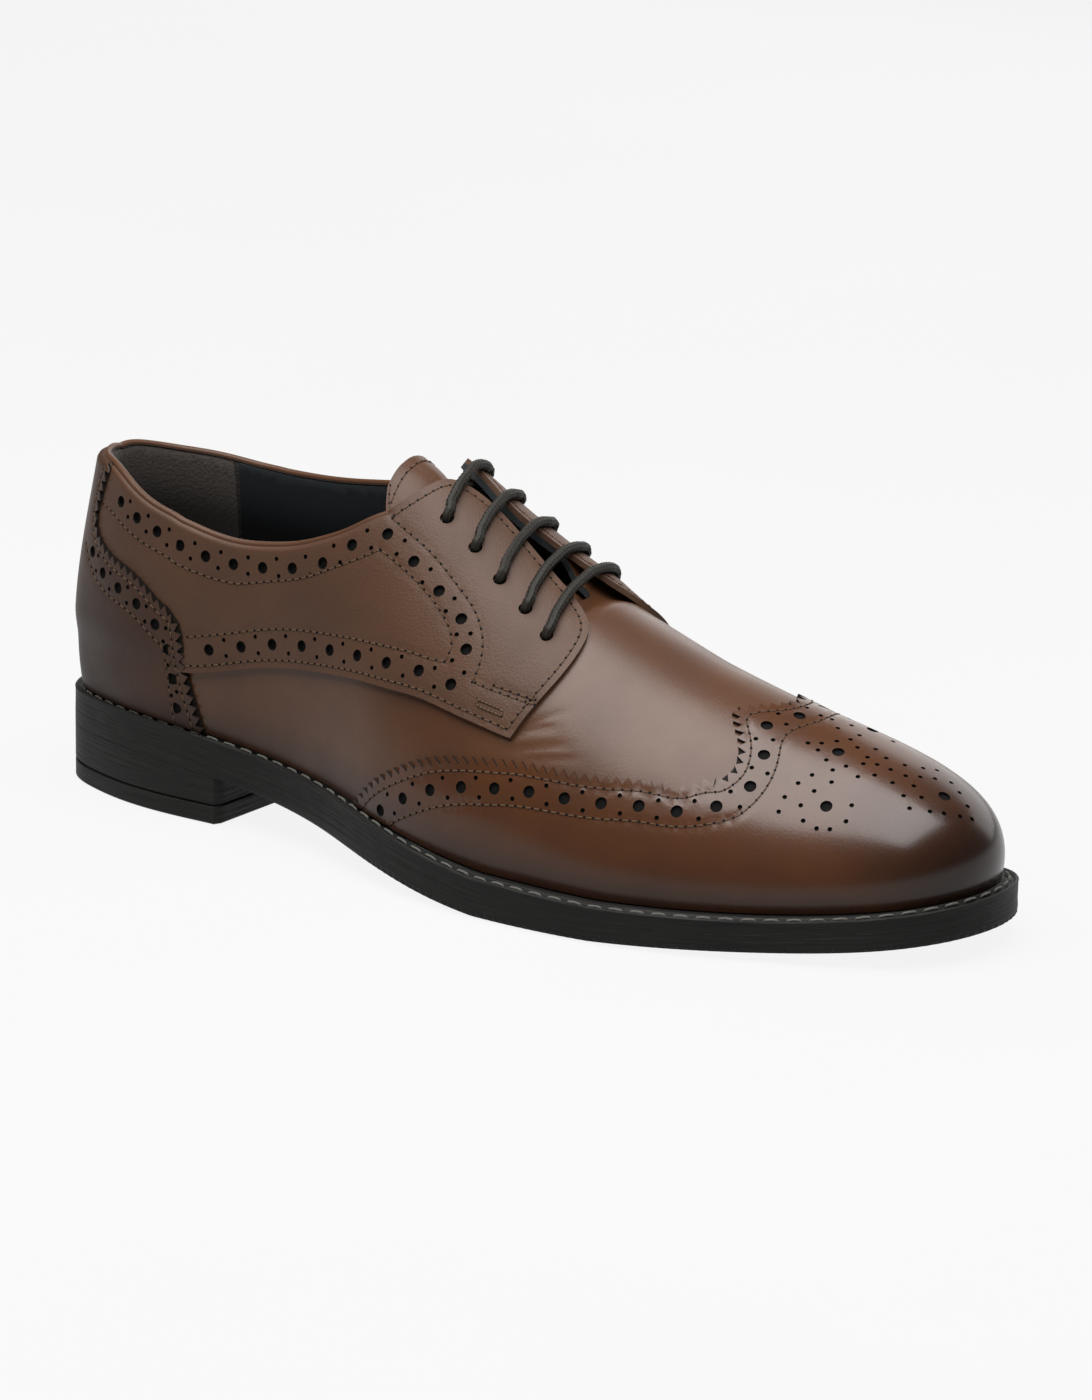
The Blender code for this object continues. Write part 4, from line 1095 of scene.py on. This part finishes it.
# Heel counter
counter_edge, teeth, strip = {}, {}, {}
for sign, table, above in ((-1, COLLAR_LATERAL, 0.003), (1, COLLAR_MEDIAL, 0.022)):
    rim_across = float(np.interp(0.056, *np.array(table).T))
    counter_edge[sign] = dense(COUNTER_EDGE[:-1] + [(0.056, rim_across + above)], sign)
    teeth[sign] = pinked(counter_edge[sign], TOOTH_PITCH, TOOTH, sign)
    strip[sign] = dense([place for place in table if place[0] < 0.05] + [(0.054, rim_across)], sign)
counter_top = np.vstack([strip[-1][::-1], strip[1][1:]])
breast = COUNTER_EDGE[0][0] * LAST_LENGTH
seat = feather_edge(float(turn_at(breast, False)), float(turn_at(breast, True)) + 1, 0.0004)
loop = closed_loop(teeth[-1], counter_top, teeth[1][::-1], seat[1:-1])


def counter_lift(points):
    """The counter thins towards the welt."""
    _, across = shares(points)
    return -0.0010 * smooth_step(0.70, 0.82, across)


seams, holes = [], []
for sign in (-1, 1):
    edge = counter_edge[sign]
    lower = edge[shares(edge)[1] > 0.36]
    seams += [beside(edge, -sign * COUNTER_ROWS[0], 4), beside(lower, -sign * COUNTER_ROWS[2], 12)]
    line = beside(lower, -sign * COUNTER_ROWS[1], 12)
    across = shares(line)[1]
    big, small = hole_row(line[(across > 0.46) & (across < 0.945)], COUNTER_PITCH, SMALL_OUT)
    holes += pierced(big, small, OVERLAY_DEPTH)
lines = [(line, (0,), groove) for line in seams]
lines.append((refined(counter_top), ROLL, rolled(COUNTER_TOP, -0.0004)))
counter = panel("counter_leather", loop, COUNTER_TOP, 0.0, [calf_counter, edge_dye_and_valley_shade, painted_hole_shade],
                extra=counter_lift, lines=lines, holes=holes)
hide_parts("heel_counter")
sew([(line, lambda points: COUNTER_TOP - THREAD_SINK + counter_lift(points)) for line in seams], loop,
    rolled_edge=counter_top)
# Near-black strips in the counter's tooth valleys: painted shade.
for side, sign in (("lateral", -1), ("medial", 1)):
    dark = valley_shade_strip("counter_valley_shade_" + side, counter_edge[sign], sign,
                    lambda points: 0.0017 + 1.3 * counter_lift(points))

# Wing cap
halves = []
for sign in (-1, 1):
    run = flat(*np.array([(along, sign * across) for along, across in WING_EDGE]).T)
    scallop = np.array([(along, CAP_CENTRE + sign * out) for along, out in SCALLOP])
    point = np.array([(CAP_POINT, CAP_CENTRE)])
    curve, length = spaced(np.vstack([run, np.vstack([scallop, point]) * (LAST_LENGTH, BALL_WIDTH)]))
    halves.append(curve(np.linspace(0, 1, round(length / 0.0012))))
    tip = halves[-1][shares(halves[-1])[0] > 0.775]
    # Near-black strip in the valleys of the cap tip's teeth: painted shade.
    dark = valley_shade_strip("cap_valley_shade_" + ("lateral" if sign < 0 else "medial"), tip, -sign,
                    lambda points: 0.00025 - 0.0014 * smooth_step(0.788, 0.779, shares(points)[0]))
wing_edge = np.vstack([halves[0], halves[1][::-1][1:]])
saw = np.vstack([pinked(halves[0], TOOTH_PITCH, TOOTH, 1),
                 pinked(halves[1][::-1], TOOTH_PITCH, TOOTH, 1)[1:]])
waist = WING_EDGE[0][0] * LAST_LENGTH
toe = feather_edge(float(turn_at(waist, True)), float(turn_at(waist, False)), 0.0004)
loop = closed_loop(saw, toe[::-1][1:-1])
seams = [beside(wing_edge, -CAP_ROWS[0], 3), beside(wing_edge, -CAP_ROWS[2], 30)]
line = beside(wing_edge, -CAP_ROWS[1], 20)
big, small = hole_row(line[shares(line)[1] < 0.965], CAP_PITCH, SMALL_OUT)
for chart, found in ((MEDALLION_BIG, big), (MEDALLION_SMALL, small)):
    for ahead, out in chart:
        for way in ((1, -1) if out else (1,)):
            found.append(MEDALLION_START + ahead / 1000 * MEDALLION_AXIS
                         - way * out / 1000 * left_of(MEDALLION_AXIS))
cap = panel("cap_leather", loop, OVERLAY, 0.0, [calf_cap, edge_dye_and_valley_shade, painted_hole_shade],
            lines=[(line, (0,), groove) for line in seams], holes=pierced(big, small, OVERLAY_DEPTH))
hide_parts("wing_cap")
sew([(line, OVERLAY - THREAD_SINK) for line in seams], loop)

# Rolled edge along the top of the collar
path = lifted(refined(topline), -0.0005)
way = unit(np.gradient(path, axis=0))
flank = unit(np.cross(way, normal_at(refined(topline))))
lift = np.cross(flank, way)
angle = np.arange(10) * math.tau / 10
ring = np.cos(angle)[:, None] * flank[:, None] + np.sin(angle)[:, None] * lift[:, None]
tube = path[:, None] + ROLL_RADIUS * ring
faces = tube_faces(len(path), len(angle))
roll = new_object("collar_roll", tube.reshape(-1, 3), faces, [calf_plain])

# Lining: suede round the heel, smooth leather in front of its seam
rim_run = lifted(collar[1], 0.0)
rim_run = rim_run[np.argsort(rim_run[:, 0])]
for name, material, behind in (("heel_lining", suede, True), ("front_lining", slate, False)):
    piece = panel(name, base, -WALL, -0.0006, [material], cut=[opening], pitch=0.0024, extra=sunk_or_raised,
                  lines=[(topline, (0.0003, -0.0003, 0.0009, -0.0009), rolled(-WALL, -0.0006, 0.0012))])
    co = np.array([vertex.co for vertex in piece.data.vertices])
    x = co[:, 0] + centre[0]
    keep = x < LINING_SEAM + 0.001 if behind else x > LINING_SEAM - 0.001
    # Painted shade: the linings darken with depth below the collar's rim, where little light reaches inside.
    below = co[:, 2] - np.interp(co[:, 0], rim_run[:, 0], rim_run[:, 2])
    shade = piece.data.attributes["burnish_and_painted_shade"]
    shade.data.foreach_set("value", smooth_step(-0.003, -0.021, below).astype(np.float32))
    body = bmesh.new()
    body.from_mesh(piece.data)
    body.verts.ensure_lookup_table()
    bmesh.ops.delete(body, geom=[body.verts[i] for i in np.flatnonzero(~keep)], context="VERTS")
    body.to_mesh(piece.data)
    body.free()

# Tongue
shape = spline(TONGUE[:, 0], TONGUE[:, 1:])


def crown_point(u, v, depth):
    """A point under the crown, bridged where the last's mouth is open."""
    mouth = [section(turn_at(u, is_lateral))[0][3] for is_lateral in (True, False)]
    if -mouth[0] < v < mouth[1]:
        left = lifted(np.array((u, -mouth[0] - 1e-4)), -depth)
        right = lifted(np.array((u, mouth[1] + 1e-4)), -depth)
        part = (v + mouth[0]) / (mouth[0] + mouth[1])
        bulge = 0.35 * (mouth[0] + mouth[1]) * part * (1 - part)
        return left * (1 - part) + right * part + (0, 0, bulge)
    return lifted(np.array((u, v)), -depth)


def tongue_point(along, width, inset=0.0, below=0.0):
    """A point on the tongue, width being -1 to 1 across it, inset from its border and below its skin."""
    down, half = shape(along)
    depth = TONGUE_TOP + down * (TONGUE_DEPTH - TONGUE_TOP) + below
    return crown_point(along * LAST_LENGTH, width * (half * BALL_WIDTH - inset), depth)


alongs = np.concatenate([np.linspace(0.3815, 0.400, 12)[:-1], np.linspace(0.400, 0.635, 42)])
widths = np.linspace(-1, 1, 41)
layers = [tongue_point(along, width, below=below)
          for below in (0.0, TONGUE_THICKNESS) for along in alongs for width in widths]
rows, columns = len(alongs), len(widths)
count = rows * columns
faces = []
for i in range(rows - 1):
    for a in range(i * columns, i * columns + columns - 1):
        quad = (a, a + 1, a + 1 + columns, a + columns)
        faces += [quad, tuple(corner + count for corner in (quad[0], quad[3], quad[2], quad[1]))]
border = ([i * columns for i in range(rows)] + [(rows - 1) * columns + j for j in range(1, columns)]
          + [i * columns + columns - 1 for i in range(rows - 2, -1, -1)] + list(range(columns - 2, 0, -1)))
faces += [(a, b, b + count, a + count) for a, b in zip(border, border[1:] + border[:1])]
paint = [0, 1] * ((rows - 1) * (columns - 1)) + [2] * len(border)
side_rows = [[tongue_point(along, side, 0.0030, -0.0001) for along in np.linspace(0.3835, 0.432, 60)]
             for side in (-1, 1)]
top_row = [tongue_point(0.3905, width, 0.0045, -0.0001) for width in np.linspace(-1, 1, 50)]
for row in side_rows + [top_row]:
    upright = np.tile((0.0, 0.0, 1.0), (len(row), 1))
    seam(np.array(row), upright, STITCH_PITCH, STITCH_LENGTH, THREAD_RADIUS)
tongue_piece = new_object("tongue_leather", layers, faces, [calf_plain, slate, raw_edge], paint)
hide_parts("tongue")

# Lace
BENDS = [0, math.pi / 8, math.pi / 4, 3 * math.pi / 8, math.pi / 2]
LACE_STEP = 0.0004       # between rings of the cord
LACE_TWIST = 0.0019      # run along the cord for one radian of its braid
STRANDS = 16


def lace_route():
    """Straight lacing in one length: its places in order, over the facings, through them and under them."""
    eyelet = {(row, sign): eyelets[sign][row - 1] for row in range(1, 6) for sign in (-1, 1)}
    top_bend = 0.8 * BEND

    def at(places):
        points = np.array([place for place, _ in places])
        height = np.array([rise for _, rise in places])
        return lifted(points, height + perk(points))

    def through(row, sign, towards, rising):
        hole = eyelet[row, sign]
        under, across = np.array((towards, 0.0)), np.array((0.0, -sign))
        points = [(hole + under * BEND * (1 - math.sin(a)), -UNDER + BEND * (1 - math.cos(a))) for a in BENDS]
        points += [(hole, 0.0004)]
        points += [(hole + across * top_bend * (1 - math.cos(a)), OVER - top_bend * (1 - math.sin(a)))
                   for a in BENDS]
        return at(points if rising else points[::-1])

    def bar(row, sign):
        start, end = eyelet[row, sign], eyelet[row, -sign]
        part = np.array([0.13, 0.21, 0.29, 0.36, 0.64, 0.71, 0.79, 0.87])
        places = at([(start * (1 - t) + end * t, OVER) for t in part])
        middle = places[3] * 0.5 + places[4] * 0.5 + (0, 0, 0.0002)
        return np.vstack([places[:4], middle, places[4:]])

    def beside_eyelet(row, sign, step):
        return at([(eyelet[row, sign] + (0.0, -sign * step * SIDESTEP), -UNDER)])

    top = eyelet[1, -1] + (0.0, SIDESTEP)
    route = [at([(top, -UNDER), ((top + eyelet[2, -1]) / 2 + (0, SIDESTEP / 2), -UNDER)])]
    route += [through(2, -1, -1, True), bar(2, -1), through(2, 1, 1, False)]
    route += [beside_eyelet(3, 1, 1), through(4, 1, -1, True), bar(4, 1), through(4, -1, 1, False)]
    route += [through(5, -1, -1, True), bar(5, -1), through(5, 1, -1, False)]
    route += [beside_eyelet(4, 1, -1), through(3, 1, 1, True), bar(3, 1), through(3, -1, -1, False)]
    route += [beside_eyelet(2, -1, -1), through(1, -1, 1, True), bar(1, -1), through(1, 1, -1, False)]
    return np.vstack(route + [at([(eyelet[1, 1] + (-2 * BEND, 0.0), -UNDER)])])


knots = lace_route()
run = run_along(knots)
line = spline(run, knots)(np.linspace(0, run[-1], round(run[-1] / LACE_STEP)))
ahead = unit(np.gradient(line, axis=0))
side_way = np.cross(ahead[0], (0, 0, 1.0))
angle = np.arange(STRANDS) * math.tau / STRANDS
rings = []
for i, (place, way) in enumerate(zip(line, ahead)):
    side_way = unit(side_way - way * (side_way @ way))
    up_way = np.cross(way, side_way)
    twist = i * LACE_STEP / LACE_TWIST
    braid = 0.91 + 0.10 * np.sin(4 * angle + twist * 4) * np.sin(4 * angle - twist * 4)
    rings.append(place + LACE / 2 * (braid * np.cos(angle))[:, None] * side_way
                 + LACE / 2 * (braid * np.sin(angle))[:, None] * up_way)
faces = tube_faces(len(rings), STRANDS)
lace = new_object("lace_cord", np.vstack(rings), faces, [cord])
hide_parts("lace")


def lay_out(piece, uv):
    layer = piece.data.uv_layers.new(name="UVMap")
    layer.data.foreach_set("uv", np.array(uv, np.float32).ravel())


def swept(name, turn, profile, cap=None, close=False):
    """Rubber ring round the sole: profile holds (out, z) arrays, top to bottom.

    close joins its last row to its first, and cap gives the height of a sheet from its last row inwards.
    """
    rings = [np.column_stack([rim(turn, out) - centre, np.broadcast_to(z, len(turn))]) for out, z in profile]
    count, levels = len(turn), len(rings)
    vertices = np.vstack(rings)
    faces, uv = [], []
    around = np.concatenate([turn, [turn[0] + 1]]) * feather_length
    steps = [np.linalg.norm(b - a, axis=1).mean() for a, b in zip(rings, rings[1:])]
    along = np.concatenate([[0], np.cumsum(steps)])
    for k in range(levels if close else levels - 1):
        above, below = along[k], along[min(k + 1, levels - 1)]
        start, after = k * count, (k + 1) % levels * count
        for i in range(count):
            j = (i + 1) % count
            faces.append((start + i, start + j, after + j, after + i))
            uv += [(around[i], above), (around[i + 1], above), (around[i + 1], below), (around[i], below)]
    if cap:
        x = feather(turn)[:, 0]
        middle = np.column_stack([np.clip(x, heel_x, toe_x), crown_line(x)]) - centre
        edge = rings[-1]
        for share_of in (0.35, 0.7, 0.97):
            inner = edge[:, :2] * (1 - share_of) + middle * share_of
            vertices = np.vstack([vertices, np.column_stack([inner, cap(inner[:, 0] + centre[0])])])
            start, before = len(vertices) - count, len(vertices) - 2 * count
            for i in range(count):
                j = (i + 1) % count
                faces.append((before + i, before + j, start + j, start + i))
                uv += [(around[i], 0), (around[i + 1], 0), (around[i + 1], 0.01), (around[i], 0.01)]
    piece = new_object(name, vertices, faces, [rubber], smooth_angle=35)
    lay_out(piece, uv)
    return piece


# Sole and welt
WAVE_PITCH = 0.0105      # slight waves along the outsole's edge
RIB_PITCH = 0.0026       # ribs along its lower corner at the forefoot
WELT_STITCH_PITCH = 0.0061
WELT_STITCH_LENGTH = 0.0043
STITCHES_IN = 0.0025     # the welt's stitches inside its edge
turn = np.arange(1500) / 1500
x = feather(turn)[:, 0]
wide, top = ledge(x), feather_height(x)
bottom = sole_bottom(x)
seam_z = top - WELT_THICKNESS
wave = np.sin(turn * feather_length / WAVE_PITCH * math.tau)
under = np.full(len(turn), -WELT_TUCK)
welt_profile = [
    (under, top - WELT_TUCK), (under, top - 0.0002), (under + WELT_TUCK + 0.0002, top - 0.0002),
    (wide - 0.0042, top - 0.0001), (wide - 0.0036, top - 0.0007), (wide - 0.0014, top - 0.0007),
    (wide - 0.0009, top - 0.0002), (wide - 0.0006, top), (wide - 0.0002, top - 0.0001),
    (wide, top - 0.0004), (wide - 0.0001, top - 0.0010), (wide - 0.0001, seam_z)]
welt = swept("welt_strip", turn, welt_profile, close=True)
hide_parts("welt")
breast_x = sole_edge[:, 0].min() + HEEL_LENGTH
forefoot = smooth_step(0.40, 0.50, x / LAST_LENGTH)
rib = 0.00018 * forefoot * np.sign(np.sin(turn * feather_length / RIB_PITCH * math.tau))
free = smooth_step(breast_x - 0.0006, breast_x + 0.0006, x)      # 0 on the heel, whose joint is square
outsole_profile = [
    (under, seam_z), (wide - 0.0001, seam_z), (wide - 0.0001 + 0.00008 * wave, (2 * seam_z + bottom) / 3),
    (wide, (seam_z + 2 * bottom) / 3), (wide - 0.0001 * free, bottom + 0.0011),
    (wide - 0.0002 * free + rib, bottom + 0.0008 * free),
    (wide - 0.0004 * free + rib, bottom + 0.0002 * free + np.maximum(rib, 0)),
    (wide - 0.0010 * free - 0.0002, bottom)]
outsole = swept("outsole_block", turn, outsole_profile, cap=sole_bottom)
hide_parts("outsole")
stitch_turn = np.arange(1200) / 1200
stitch_line = rim(stitch_turn, ledge(feather(stitch_turn)[:, 0]) - STITCHES_IN)


def heel_block(name, low, high, node, top_chamfer=HEEL_CHAMFER):
    """Block with the outline of the heel between two heights that follow x, its edges chamfered."""
    ring_turn = np.concatenate([np.linspace(0.5, 1, 600), np.linspace(0, 0.5, 600)[1:]])
    outline = rim(ring_turn, ledge(feather(ring_turn)[:, 0]))
    outline = outline[outline[:, 0] < breast_x][::3]
    breast_y = np.linspace(outline[-1, 1], outline[0, 1], 26)[1:-1]
    breast_line = np.column_stack([np.full(len(breast_y), breast_x), breast_y])
    loop = np.vstack([outline, breast_line])
    count = len(loop)
    area = np.sum(loop[:, 0] * np.roll(loop[:, 1], -1) - loop[:, 1] * np.roll(loop[:, 0], -1))
    outward = -np.sign(area) * left_of(unit(np.roll(loop, -1, axis=0) - np.roll(loop, 1, axis=0)))
    vertices = []
    for out, level, rise in ((-HEEL_CHAMFER, low, 0), (0, low, HEEL_CHAMFER), (0, high, -top_chamfer),
                             (-top_chamfer, high, 0)):
        edge = loop + outward * out
        vertices.append(np.column_stack([edge - centre, level(edge[:, 0]) + rise]))
    faces, uv = [], []
    run = np.append(run_along(loop), 0.3)
    for k in range(3):
        for i in range(count):
            j = (i + 1) % count
            faces.append((k * count + i, k * count + j, (k + 1) * count + j, (k + 1) * count + i))
            za, zb = vertices[k][i, 2], vertices[k + 1][i, 2]
            uv += [(run[i], za), (run[i + 1], za), (run[i + 1], zb), (run[i], zb)]
    faces += [tuple(range(count - 1, -1, -1)), tuple(3 * count + i for i in range(count))]
    uv += [(0, 0)] * (2 * count)
    piece = new_object(name, np.vstack(vertices), faces, [rubber], smooth_angle=30)
    lay_out(piece, uv)
    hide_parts(node)


heel_block("heel_block", lambda x: 0 * x + LIFT_HEIGHT + HEEL_SEAT, lambda x: sole_bottom(x) - 0.00002,
           "heel_stack", top_chamfer=0.00015)
heel_block("lift_block", lambda x: 0 * x, lambda x: 0 * x + LIFT_HEIGHT - HEEL_SEAT,
           "top_lift")

# One stitch of the welt: share of its length from its middle, size, rise
WELT_STITCH = [
    (-0.5, 0.35, -0.0002), (-0.4, 0.9, 0.0001), (0, 1.0, 0.00022), (0.4, 0.9, 0.0001), (0.5, 0.35, -0.0002)]


def welt_stitches():
    """Thick pale stitches round the welt."""
    place = np.column_stack([stitch_line - centre, feather_height(stitch_line[:, 0]) - 0.0006])
    place = np.vstack([place, place[:1]])
    run = run_along(place)
    count = round(run[-1] / WELT_STITCH_PITCH)
    sides = 8
    angle = np.arange(sides) * math.tau / sides
    vertices, faces = [], []
    for n in range(count):
        faces += tube_faces(len(WELT_STITCH), sides, len(vertices) * sides)
        for t, size, rise in WELT_STITCH:
            at = ((n + 0.5) * run[-1] / count + t * WELT_STITCH_LENGTH) % run[-1]
            ahead = unit(at_run(at + 0.0005, run, place) - at_run(at - 0.0005, run, place))
            side, up = np.cross((0, 0, 1), ahead), np.array((0, 0, 1))
            ring = 0.00042 * np.cos(angle)[:, None] * side + 0.00040 * np.sin(angle)[:, None] * up
            vertices.append(at_run(at, run, place) + (0, 0, rise) + size * ring)
    new_object("welt_stitches", np.vstack(vertices), faces, [pale_thread])


welt_stitches()
vertices = np.vstack(threads)
rings = len(STITCH)
faces = [face for first in range(0, len(vertices), rings * STITCH_SIDES)
         for face in tube_faces(rings, STITCH_SIDES, first)]
new_object("leather_stitches", vertices, faces, [thread])
# Near-black discs at the needle holes: painted shade.
vertices = np.vstack(pinholes)
faces = [tuple(range(first, first + STITCH_SIDES)) for first in range(0, len(vertices), STITCH_SIDES)]
new_object("stitch_holes", vertices, faces, [painted_hole_shade])

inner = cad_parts["insole"]
inner.data.materials.clear()
inner.data.materials.append(insole_skin)

# Floor, light and camera
FLOOR_GLOW = 0.88
WORLD_STRENGTH = 0.11
floor_material = plain("floor", (0.03, 0.03, 0.03), 0.9, 3.0, 0.02, 0.0001, specular=0.0)
glow = floor_material.node_tree.nodes["Principled BSDF"]
glow.inputs["Emission Color"].default_value = (1, 1, 1, 1)
glow.inputs["Emission Strength"].default_value = FLOOR_GLOW
mesh = bpy.data.meshes.new("floor")
mesh.from_pydata([(x, y, -0.0002) for x, y in ((-6, -6), (6, -6), (6, 6), (-6, 6))], [], [(0, 1, 2, 3)])
mesh.materials.append(floor_material)
floor = bpy.data.objects.new("floor", mesh)
bpy.context.scene.collection.objects.link(floor)

world = bpy.data.worlds.new("studio")
bpy.context.scene.world = world
world.use_nodes = True
world.node_tree.nodes["Background"].inputs["Color"].default_value = (1, 1, 1, 1)
world.node_tree.nodes["Background"].inputs["Strength"].default_value = WORLD_STRENGTH
bpy.context.scene.view_settings.view_transform = "Standard"


def softbox(name, place, aim, width, height, radiance):
    """Rectangular light of a given radiance, aimed at a point."""
    light = bpy.data.lights.new(name, "AREA")
    light.shape = "RECTANGLE"
    light.size, light.size_y, light.energy = width, height, radiance * math.pi * width * height
    lamp = bpy.data.objects.new(name, light)
    lamp.location = place
    lamp.rotation_euler = (Vector(aim) - Vector(place)).to_track_quat("-Z", "Y").to_euler()
    lamp.visible_camera = False
    bpy.context.scene.collection.objects.link(lamp)


softbox("overhead", (0.05, -0.25, 1.10), (0.05, -0.10, 0.0), 1.40, 1.10, 7.8)
softbox("behind", (-0.05, 1.40, 0.58), (0.05, 0.0, 0.05), 2.30, 0.90, 1.75)

camera_data = bpy.data.cameras.new("camera")
camera_data.sensor_fit = "AUTO"
camera_data.sensor_width = 36.0
camera_data.lens = 140.80
camera = bpy.data.objects.new("camera", camera_data)

# The view that was solved from the photograph
azimuth, elevation, roll = math.radians(33.9), math.radians(15.58), math.radians(0.90)
distance = 1.5205
target = Vector((0.15910 - centre[0], -centre[1], 0.04642))
level = math.cos(elevation)
back_way = Vector((math.sin(azimuth) * level, -math.cos(azimuth) * level, math.sin(elevation)))
right = Vector((math.cos(azimuth), math.sin(azimuth), 0))
up = back_way.cross(right)
across_view = math.cos(roll) * right + math.sin(roll) * up
up_view = -math.sin(roll) * right + math.cos(roll) * up
turned = Matrix((across_view, up_view, back_way)).transposed().to_4x4()
camera.matrix_world = Matrix.Translation(target + distance * back_way) @ turned
bpy.context.scene.collection.objects.link(camera)
bpy.context.scene.camera = camera
